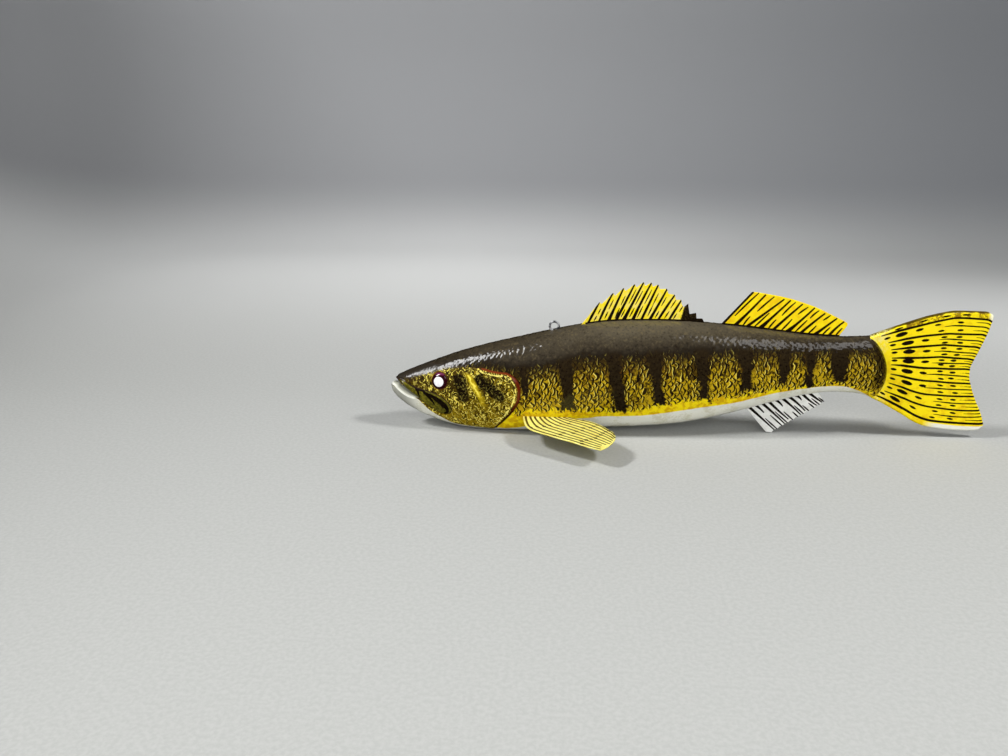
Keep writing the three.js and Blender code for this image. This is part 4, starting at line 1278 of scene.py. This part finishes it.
def head_paint(finish, body, dabs, fine, drift):
    """Layers of the head: bright squiggles over gold with dark curls beside them, partly outline and partly
    painted shadow under the raised squiggles, dark patches, a dark crown, and the lines of cheek and gill
    cover."""
    ink = body.ink_paint[:]
    gill, cheek, back, patches = finish.fields("gill", "cheek", "back", "blotch")
    place_x, _, height = finish.split(finish.place)
    curls = finish.noise(3.9, 1, 0.45, 1.1, stretch=(1.2, 1, 0.85))
    bright = curls.near(0.5, 0.033) * (fine + dabs * 0.4).step(0.62, 0.72)
    blotch = (patches + dabs.sway(4) + fine.sway(2.5)).step(-1.6, 0.6)
    crown = (back + dabs.sway(6) + fine.sway(4)).step(-2.0, 1.5)
    beside = (cheek + dabs.sway(3)).math("ABSOLUTE")
    fade = (height + dabs.sway(14)).step(16, 32) * height.step(46, 43)
    cheek_line = beside.step(0.8, 0.3) * (fine + fade).step(0.9, 1.4) * height.step(27, 33)
    dots = (gill + 2.2 + dabs.sway(2.5)).near(0, 0.42) * (fine + dabs * 0.5).step(0.62, 0.74)
    head = finish.layers(
        "head_olive",
        ("head_gold", (fine * 0.8 + dabs * 0.6 + drift * 0.5 + height * -0.006).step(0.6, 0.95)),
        # Dark curls beside the bright squiggles: partly dark outline, partly painted shadow under the raised
        # strokes
        (ink, curls.near(0.59, 0.038) * (dabs + fine * 0.5).step(0.56, 0.8) * 0.95),
        (ink, curls.near(0.41, 0.034) * height.step(16, 30) * 0.9),
        ("squiggle", bright * 0.9),
        ("snout", (place_x + height * 0.6).step(-160, -170) * height.step(27, 31) * 0.65),
        (ink, blotch * (0.95 - bright * 0.1)),
        ("crown", crown),
        ("cheek_gold", beside.step(2.8, 0.6) * fade * 0.75),
        ("cheek_line", cheek_line * 0.8),
        ("gill_dots", dots * height.step(4, 12) * crown.step(0.6, 0.2) * 0.95),
    )
    warm = finish.layers(
        body.gill_paint[:],
        ("gill_top", (height + gill * -3).step(43, 48.5)),
        ("gill_foot", height.step(30, 12)),
    )
    return (
        (head, gill.step(0.3, -0.3)),
        (warm, gill.near(0.1, 1.05) * height.step(49.3, 47.9) * height.step(47, 42)),
        (warm, gill.near(0.0, 0.7) * height.step(49.6, 48.8)),
    )


def jaw_paint(finish, body, dabs, fine):
    """Layers of the upper jaw's plate, the lips with a painted highlight on the lower lip's edge, the inside
    of the mouth greyed deeper in with painted shade, and the rim round the eye.
    """
    maxilla, mouth, eye, spears = finish.fields("maxilla", "mouth", "eye", "spears")
    plate = finish.layers(
        "jaw_plate",
        ("jaw_dark", (fine + dabs * 0.5).step(0.55, 0.9)),
        (body.ink_paint[:], (spears + fine.sway(0.5)).step(-0.15, 0.15)),
    )
    # Painted shade: the white inside of the mouth turns grey away from its rim
    inside = finish.layers("mouth_painted_shade", ("mouth_rim", mouth.step(0.7, 0.1)))
    return (
        (plate, maxilla.step(-0.2, 0.2)),
        ("jaw_groove", (maxilla + 0.1).near(0, 0.35) * 0.85),
        # Painted highlight: a bright line along the lower lip's edge, which faces up into the light
        ("lip_painted_highlight", mouth.near(-0.5, 0.7) * maxilla.step(-1, -2)),
        (inside, mouth.step(-0.1, 0.25)),
        ("eye_rim", eye.step(6.9, 6.3) * 0.5),
        ("eye_socket", eye.step(6.3, 5.9)),
    )


def tail_finish(body):
    """Paint of the tail fin: glossy yellow with dark rays and dots and a white lower edge."""
    finish = Finish("tail_paint", coat=0.6, specular=0.1)
    fine = finish.noise(1.1, 3, 0.6)
    dabs = finish.noise(5, 2, 0.5)
    along, upward, ink = finish.fields("along", "upward", "ink")
    mottle = upward.step(0.935, 0.955) * (dabs + fine * 0.8).step(0.8, 1.0) * along.step(0.3, 0.42)
    finish.bump(fine * 0.3 + dabs * 0.5, 0.1, 0.5)
    paint = finish.layers(
        body.yellow_paint[:],
        ("tail_gold", (dabs + upward * -0.15).step(0.4, 0.66) * 0.6),
        ("tail_mottle", mottle * 0.85),
        ("tail_top_edge", (upward + dabs.sway(0.02)).step(0.984, 0.992) * 0.9),
        ("tail_tip", upward.step(0.93, 0.965) * along.step(0.955, 0.985)),
        (body.white_paint[:], upward.step(0.055, 0.045) * along.step(0.6, 0.7)),
        # Paler at the tail fin's root: partly pale paint, partly a painted highlight where the fin leaves the
        # body
        ("tail_root", along.step(0.34, 0.22) * (fine + dabs * 0.5).step(0.65, 0.85) * 0.7),
        (body.ink_paint[:], (ink + fine.sway(0.3)).step(-0.08, 0.14)),
    )
    return finish.done(paint)


def fin_finish(name, paint, second_paint, ink, dark_rear=False):
    """Glossy paint of a sheet-metal fin with inked rays."""
    finish = Finish(name, coat=0.5, coat_roughness=0.12, specular=0.1)
    fine = finish.noise(0.8, 3, 0.6)
    dabs = finish.noise(4.5, 2, 0.5)
    paint = finish.layers(paint, (second_paint, (dabs + fine * 0.3).step(0.5, 0.85) * 0.7))
    if dark_rear:
        points = finish.layers(ink, ("leaf_points", fine.step(0.5, 0.68)))
        [dark] = finish.fields("dark")
        paint = finish.layers(paint, (points, (dark + fine.sway(2)).step(-0.4, 0.4)))
    [rays] = finish.fields("ink")
    finish.bump(fine * 0.4 + dabs * 0.4, 0.08, 0.5)
    return finish.done(finish.layers(paint, (ink, (rays + fine.sway(0.1)).step(-0.08, 0.1))))


def eye_finish(eyes):
    """Glass eye painted behind: a pearl pupil in a dark ring with a red glow."""
    finish = Finish("eye_glass", roughness=0.08, coat=1.0, coat_roughness=0.02)
    radius, glow = finish.fields("radius", "glow")
    half = mm(eyes.pupil) / 2
    pearl = finish.layers(eyes.pearl[:], ("pearl_grey", finish.noise(3).step(0.45, 0.75)))
    ring = finish.layers(eyes.ring[:], ("ring_glow", glow.step(0.66, 0.92)))
    return finish.done(finish.layers(ring, (pearl, radius.step(half + 0.15, half - 0.15))))


def steel_finish():
    """Bright drawn wire."""
    finish = Finish("steel_wire", roughness=0.3, metallic=0.4)
    drawn = finish.noise(2.4, 2, 0.6)
    finish.bump(drawn, 0.02, 0.4)
    return finish.done(finish.layers("steel", ("steel_dark", drawn.step(0.4, 0.58))))


def lathe_eye(body, eyes, hand):
    """A domed glass eye that looks out of the side of the head."""
    form = Form(body)
    x, z = form.x(EYE_PLACE[0]), EYE_PLACE[1] * form.crown
    outward = form.side_normal(x, z, hand)
    turn = Vector((0, 0, 1)).rotation_difference(outward).to_matrix()
    place = Matrix.Translation((x, hand * form.side(x, z), z)) @ turn.to_4x4()
    radius, dome = mm(eyes.diameter) / 2, mm(eyes.dome)
    profile = [(0.0, -2.0), (radius * 0.9, -2.0), (radius, -1.8), (radius, -0.1)]
    profile += [(radius * math.cos(a), dome * math.sin(a)) for a in np.radians(np.linspace(0, 90, 15))]
    points, faces = lathed(profile, EYE_SIDES)
    points = [place @ Vector(point) for point in points]
    radii = [math.hypot(point.x - x + PUPIL_AHEAD, point.z - z) for point in points]
    glow = [(point.z - z) / radius for point in points]
    name = "eye_left" if hand < 0 else "eye_right"
    piece = mesh_object(name, points, faces, {"radius": radii, "glow": glow})
    merge_doubles(piece.data)
    face_outward(piece.data)
    return piece


def merge_doubles(mesh):
    """Joins points that lie on each other, and drops faces that vanish with them."""
    shape = bmesh.new()
    shape.from_mesh(mesh)
    bmesh.ops.remove_doubles(shape, verts=shape.verts, dist=1e-7)
    bmesh.ops.dissolve_degenerate(shape, edges=shape.edges, dist=1e-8)
    shape.to_mesh(mesh)
    shape.free()


def start_tree(name, sizes, takes_blank=False):
    """A geometry node tree with an input for each size, in metres, after a blank to work on if it takes one.
    Gives the tree and the wires from its inputs by name."""
    tree = bpy.data.node_groups.new(name, "GeometryNodeTree")
    if takes_blank:
        tree.interface.new_socket("Blank", in_out="INPUT", socket_type="NodeSocketGeometry")
    for size_name, value in sizes.items():
        socket = tree.interface.new_socket(size_name, in_out="INPUT", socket_type="NodeSocketFloat")
        socket.default_value = value
        socket.subtype = "DISTANCE"
    tree.interface.new_socket("Geometry", in_out="OUTPUT", socket_type="NodeSocketGeometry")
    return tree, {socket.name: Wire(tree, socket) for socket in tree.nodes.new("NodeGroupInput").outputs}


def scale_tree(material):
    """Geometry nodes that cut overlapping scales into a blank; each stands up at its rear edge."""
    tree, given = start_tree("carved_scales", {"Relief": 0.00025}, takes_blank=True)
    along, around, depth = (
        node_wire(tree, "GeometryNodeInputNamedAttribute", {"Name": name}, output="Attribute")
        for name in ("along", "around", "relief")
    )
    edge = scale_cell(along, around)[0]
    lift = (0.5 - edge * SCALE_SLOPE) * depth * given["Relief"]
    normal = node_wire(tree, "GeometryNodeInputNormal", output="Normal")
    offset = node_wire(tree, "ShaderNodeVectorMath", {"Vector": normal, "Scale": lift}, operation="SCALE")
    cut = node_wire(tree, "GeometryNodeSetPosition", {"Geometry": given["Blank"], "Offset": offset})
    finish_tree(tree, cut, material)
    return tree


def finish_tree(tree, geometry, material):
    """Ends a node tree: real geometry, in its material."""
    real = node_wire(tree, "GeometryNodeRealizeInstances", {0: geometry})
    painted = node_wire(tree, "GeometryNodeSetMaterial", {"Geometry": real, "Material": material})
    add_node(tree, "NodeGroupOutput", {0: painted})


def screw_eye_tree(material):
    """Geometry nodes for a screw eye: a bent ring, a straight shank and a thread that winds round it."""
    sizes = {"Ring Radius": 0.0032, "Wire Radius": 0.0008, "Shank": 0.011, "Pitch": 0.0014}
    tree, given = start_tree("screw_eye", sizes)
    ring_radius, wire_radius, shank, pitch = (given[name] for name in sizes)

    def swept(curve, radius, sides):
        """A curve given a round section."""
        section = node_wire(tree, "GeometryNodeCurvePrimitiveCircle", {"Resolution": sides, "Radius": radius})
        inputs = {"Curve": curve, "Profile Curve": section, "Fill Caps": True}
        return node_wire(tree, "GeometryNodeCurveToMesh", inputs)

    def at_height(height):
        return node_wire(tree, "ShaderNodeCombineXYZ", {"Z": height})

    arc = {"Resolution": 56, "Radius": ring_radius}
    arc.update({"Start Angle": math.radians(-72), "Sweep Angle": math.radians(340)})
    ring = swept(node_wire(tree, "GeometryNodeCurveArc", arc), wire_radius, WIRE_SIDES)
    stood = node_wire(tree, "GeometryNodeTransform", {"Geometry": ring, "Rotation": (math.radians(90), 0, 0)})

    top = ring_radius * -0.98
    line = {"Start": at_height(top), "End": at_height(top - shank)}
    core_radius = wire_radius * 0.86
    core = swept(node_wire(tree, "GeometryNodeCurvePrimitiveLine", line), core_radius, WIRE_SIDES)

    threaded = shank * 0.72
    spiral = {"Resolution": 24, "Rotations": threaded.math("DIVIDE", pitch), "Height": threaded}
    spiral.update({"Start Radius": core_radius, "End Radius": wire_radius * 0.7})
    thread = swept(node_wire(tree, "GeometryNodeCurveSpiral", spiral), wire_radius * 0.2, THREAD_SIDES)
    point = at_height(top - shank * 0.98)
    lowered = node_wire(tree, "GeometryNodeTransform", {"Geometry": thread, "Translation": point})

    join = tree.nodes.new("GeometryNodeJoinGeometry")
    for mesh in (stood, core, lowered):
        feed(tree, mesh, join.inputs[0])
    smoothed = node_wire(tree, "GeometryNodeSetShadeSmooth", {0: Wire(tree, join.outputs[0])})
    finish_tree(tree, smoothed, material)
    return tree


def from_nodes(name, tree, values, maker=None):
    """A plain mesh piece from a node tree on a maker object; values are given by input name."""
    if maker is None:
        maker = bpy.data.objects.new(name + "_maker", bpy.data.meshes.new(name + "_base"))
        bpy.context.scene.collection.objects.link(maker)
    modifier = maker.modifiers.new("Shape", "NODES")
    modifier.node_group = tree
    for item in tree.interface.items_tree:
        if item.item_type == "SOCKET" and item.in_out == "INPUT" and item.name in values:
            modifier[item.identifier] = values[item.name]
    graph = bpy.context.evaluated_depsgraph_get()
    mesh = bpy.data.meshes.new_from_object(maker.evaluated_get(graph))
    mesh.name = name
    bpy.data.objects.remove(maker)
    piece = bpy.data.objects.new(name, mesh)
    bpy.context.scene.collection.objects.link(piece)
    return piece


def paper_finish(stage):
    """Pale grey paper with painted light and shade: it darkens as it rises into the backdrop and towards the
    right, and lightens on the floor further back.
    """
    finish = Finish("paper", roughness=0.85, specular=0.1)
    place_x, place_y, height = finish.split(finish.place)
    floor = finish.layers(
        stage.floor_paint[:],
        ("fibre", finish.noise(2.2, 3, 0.6).step(0.3, 0.7)),
        # Painted light on the floor further back, and painted shade towards its far right
        ("far_floor_painted_light", place_y.step(50, 700)),
        ("right_floor_painted_shade", place_y.step(250, 650) * place_x.step(-300, 700) * 0.8),
    )
    wall = finish.layers(
        stage.backdrop_painted_shade[:],
        # Painted shade towards the right of the backdrop
        ("right_wall_painted_shade", place_x.step(-500, 900)),
        ("front_wall", place_y.step(-600, -800)),
    )
    # The backdrop's painted shade takes over as the paper rises
    rise = (height + place_y.math("ABSOLUTE") * 0.3).step(150, 375)
    return finish.done(finish.layers(floor, (wall, rise)))


def build_stage(stage):
    """Paper floor, square with round corners, that curves up all round into a backdrop."""
    profile = [(PAPER_FLAT * k / 12, 0.0) for k in range(13)]
    for angle in np.radians(np.linspace(6, 90, 15)):
        profile.append((PAPER_FLAT + PAPER_CURVE * math.sin(angle), PAPER_CURVE * (1 - math.cos(angle))))
    profile.append((PAPER_FLAT + PAPER_CURVE, PAPER_TOP))
    floor = mesh_object("paper_floor", *lathed(profile, 144, power=7))
    merge_doubles(floor.data)
    floor.data.materials.append(paper_finish(stage))
    floor.visible_glossy = False


def lathed(profile, steps, power=2):
    """Points and faces of a profile carried round the Z axis: in a circle, or nearer a square with more
    power."""
    turns = np.arange(steps) * 2 * math.pi / steps
    reach = (np.abs(np.cos(turns)) ** power + np.abs(np.sin(turns)) ** power) ** (-1 / power)
    plan = list(zip(reach * np.cos(turns), reach * np.sin(turns)))
    points = [(radius * x, radius * y, height) for radius, height in profile for x, y in plan]
    return points, grid_faces(len(profile), steps, closed=True).tolist()


def build_lamps(stage):
    """Two small lamps in front, left and right, a low fill, and soft boxes that the varnish reflects."""
    for name, spot, width, height, watts, reflected in LAMPS:
        data = bpy.data.lights.new(name, "AREA")
        data.shape = "RECTANGLE"
        data.size = width
        data.size_y = height
        data.energy = stage.lamp_power * watts
        lamp = bpy.data.objects.new(name, data)
        lamp.location = spot
        lamp.rotation_euler = (Vector(LAMP_AIM) - lamp.location).to_track_quat("-Z", "Y").to_euler()
        lamp.visible_camera = False
        lamp.visible_glossy = reflected
        lamp.visible_diffuse = not reflected
        bpy.context.scene.collection.objects.link(lamp)
    world = bpy.data.worlds.new("surround")
    world.use_nodes = True
    surround = world.node_tree.nodes["Background"].inputs
    feed(world.node_tree, "surround", surround["Color"])
    surround["Strength"].default_value = SURROUND_STRENGTH
    world.cycles_visibility.glossy = False
    bpy.context.scene.world = world


def build_camera(stage):
    """The camera at the photograph's viewing angle."""
    data = bpy.data.cameras.new("camera")
    data.lens = stage.lens
    data.sensor_width = 36
    data.sensor_fit = "HORIZONTAL"
    data.clip_start = 0.02
    data.clip_end = 20
    camera = bpy.data.objects.new("camera", data)
    camera.location = CAMERA_PLACE
    camera.rotation_mode = "QUATERNION"
    camera.rotation_quaternion = Vector(CAMERA_BACK).to_track_quat("Z", "Y")
    bpy.context.scene.collection.objects.link(camera)
    bpy.context.scene.camera = camera
    bpy.context.scene.view_settings.view_transform = "Standard"


class DECOY_OT_body(bpy.types.Operator):
    """Carve and paint the body."""

    bl_idname = "decoy.body"
    bl_label = "Body"

    def execute(self, context):
        sizes = context.scene.decoy_body
        paint = body_finish(sizes)
        body = from_nodes("carved_body", scale_tree(paint), {"Relief": sizes.scale_relief}, body_mesh(sizes))
        keep(body, paint, "body")
        return {"FINISHED"}


class DECOY_OT_tail(bpy.types.Operator):
    """Carve and paint the tail fin."""

    bl_idname = "decoy.tail"
    bl_label = "Tail fin"

    def execute(self, context):
        sizes = context.scene.decoy_body
        keep(tail_mesh(sizes), tail_finish(sizes), "body")
        return {"FINISHED"}


class DECOY_OT_back_fins(bpy.types.Operator):
    """Cut and paint the two fins of the back."""

    bl_idname = "decoy.back_fins"
    bl_label = "Back fins"

    def execute(self, context):
        body, fins = context.scene.decoy_body, context.scene.decoy_fins
        yellow, ink = body.yellow_paint[:], body.ink_paint[:]
        spiny = fin_finish("spiny_paint", yellow, "spiny_pale", ink, dark_rear=True)
        keep(spiny_fin(body, fins), spiny, "spiny_dorsal_fin")
        soft = fin_finish("soft_paint", yellow, "soft_gold", ink)
        keep(soft_fin(body, fins), soft, "soft_dorsal_fin")
        return {"FINISHED"}


class DECOY_OT_anal_fin(bpy.types.Operator):
    """Cut and paint the fin under the tail stalk."""

    bl_idname = "decoy.anal_fin"
    bl_label = "Anal fin"

    def execute(self, context):
        body, fins = context.scene.decoy_body, context.scene.decoy_fins
        paint = fin_finish("anal_paint", "fin_white", "fin_grey", body.ink_paint[:])
        keep(anal_fin(body, fins), paint, "anal_fin")
        return {"FINISHED"}


class DECOY_OT_pectoral_fins(bpy.types.Operator):
    """Cut and paint the pair of pectoral fins."""

    bl_idname = "decoy.pectoral_fins"
    bl_label = "Pectoral fins"

    def execute(self, context):
        body, fins = context.scene.decoy_body, context.scene.decoy_fins
        paint = fin_finish("pectoral_paint", fins.pale_paint[:], "paddle_gold", "paddle_ink")
        for hand, node in ((-1, "pectoral_fin_left"), (1, "pectoral_fin_right")):
            keep(pectoral_fin(body, fins, hand), paint, node)
        return {"FINISHED"}


class DECOY_OT_eyes(bpy.types.Operator):
    """Set the glass eyes."""

    bl_idname = "decoy.eyes"
    bl_label = "Glass eyes"

    def execute(self, context):
        body, eyes = context.scene.decoy_body, context.scene.decoy_eyes
        glass = eye_finish(eyes)
        for hand, node in ((-1, "glass_eye_left"), (1, "glass_eye_right")):
            keep(lathe_eye(body, eyes, hand), glass, node)
        return {"FINISHED"}


class DECOY_OT_screw_eye(bpy.types.Operator):
    """Turn the screw eye into the back."""

    bl_idname = "decoy.screw_eye"
    bl_label = "Screw eye"

    def execute(self, context):
        steel = steel_finish()
        low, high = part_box("screw_eye")
        wire = (high.y - low.y) / 2
        ring = (high.x - low.x) / 2 - wire
        shank = high.z - low.z - 2 * ring - wire
        values = {"Ring Radius": ring, "Wire Radius": wire, "Shank": shank}
        piece = from_nodes("screw_eye_wire", screw_eye_tree(steel), values)
        middle = Vector(((low.x + high.x) / 2, (low.y + high.y) / 2, high.z - wire - ring))
        piece.data.transform(Matrix.Translation(middle))
        keep(piece, steel, "screw_eye")
        return {"FINISHED"}


class DECOY_OT_stage(bpy.types.Operator):
    """Lay the paper floor and set the lamps and the camera."""

    bl_idname = "decoy.stage"
    bl_label = "Stage"

    def execute(self, context):
        stage = context.scene.decoy_stage
        build_stage(stage)
        build_lamps(stage)
        build_camera(stage)
        return {"FINISHED"}


PIECES = (
    DECOY_OT_body, DECOY_OT_tail, DECOY_OT_back_fins, DECOY_OT_anal_fin, DECOY_OT_pectoral_fins,
    DECOY_OT_eyes, DECOY_OT_screw_eye, DECOY_OT_stage,
)


class DECOY_PT_panel(bpy.types.Panel):
    """Lists the decoy's pieces in the sidebar."""

    bl_idname = "DECOY_PT_panel"
    bl_label = "Fish Decoy"
    bl_space_type = "VIEW_3D"
    bl_region_type = "UI"
    bl_category = "Decoy"

    def draw(self, context):
        for group in GROUPS:
            settings = getattr(context.scene, group)
            box = self.layout.box()
            for field in type(settings).__annotations__:
                box.prop(settings, field)
        for piece in PIECES:
            self.layout.operator(piece.bl_idname)


def register():
    for group in GROUPS.values():
        bpy.utils.register_class(group)
    for name, group in GROUPS.items():
        setattr(bpy.types.Scene, name, PointerProperty(type=group))
    for piece in PIECES:
        bpy.utils.register_class(piece)
    bpy.utils.register_class(DECOY_PT_panel)


def unregister():
    bpy.utils.unregister_class(DECOY_PT_panel)
    for piece in reversed(PIECES):
        bpy.utils.unregister_class(piece)
    for name, group in reversed(GROUPS.items()):
        delattr(bpy.types.Scene, name)
        bpy.utils.unregister_class(group)


def main():
    register()
    for piece in PIECES:
        getattr(bpy.ops.decoy, piece.bl_idname.split(".")[1])()


if __name__ == "__main__":
    main()
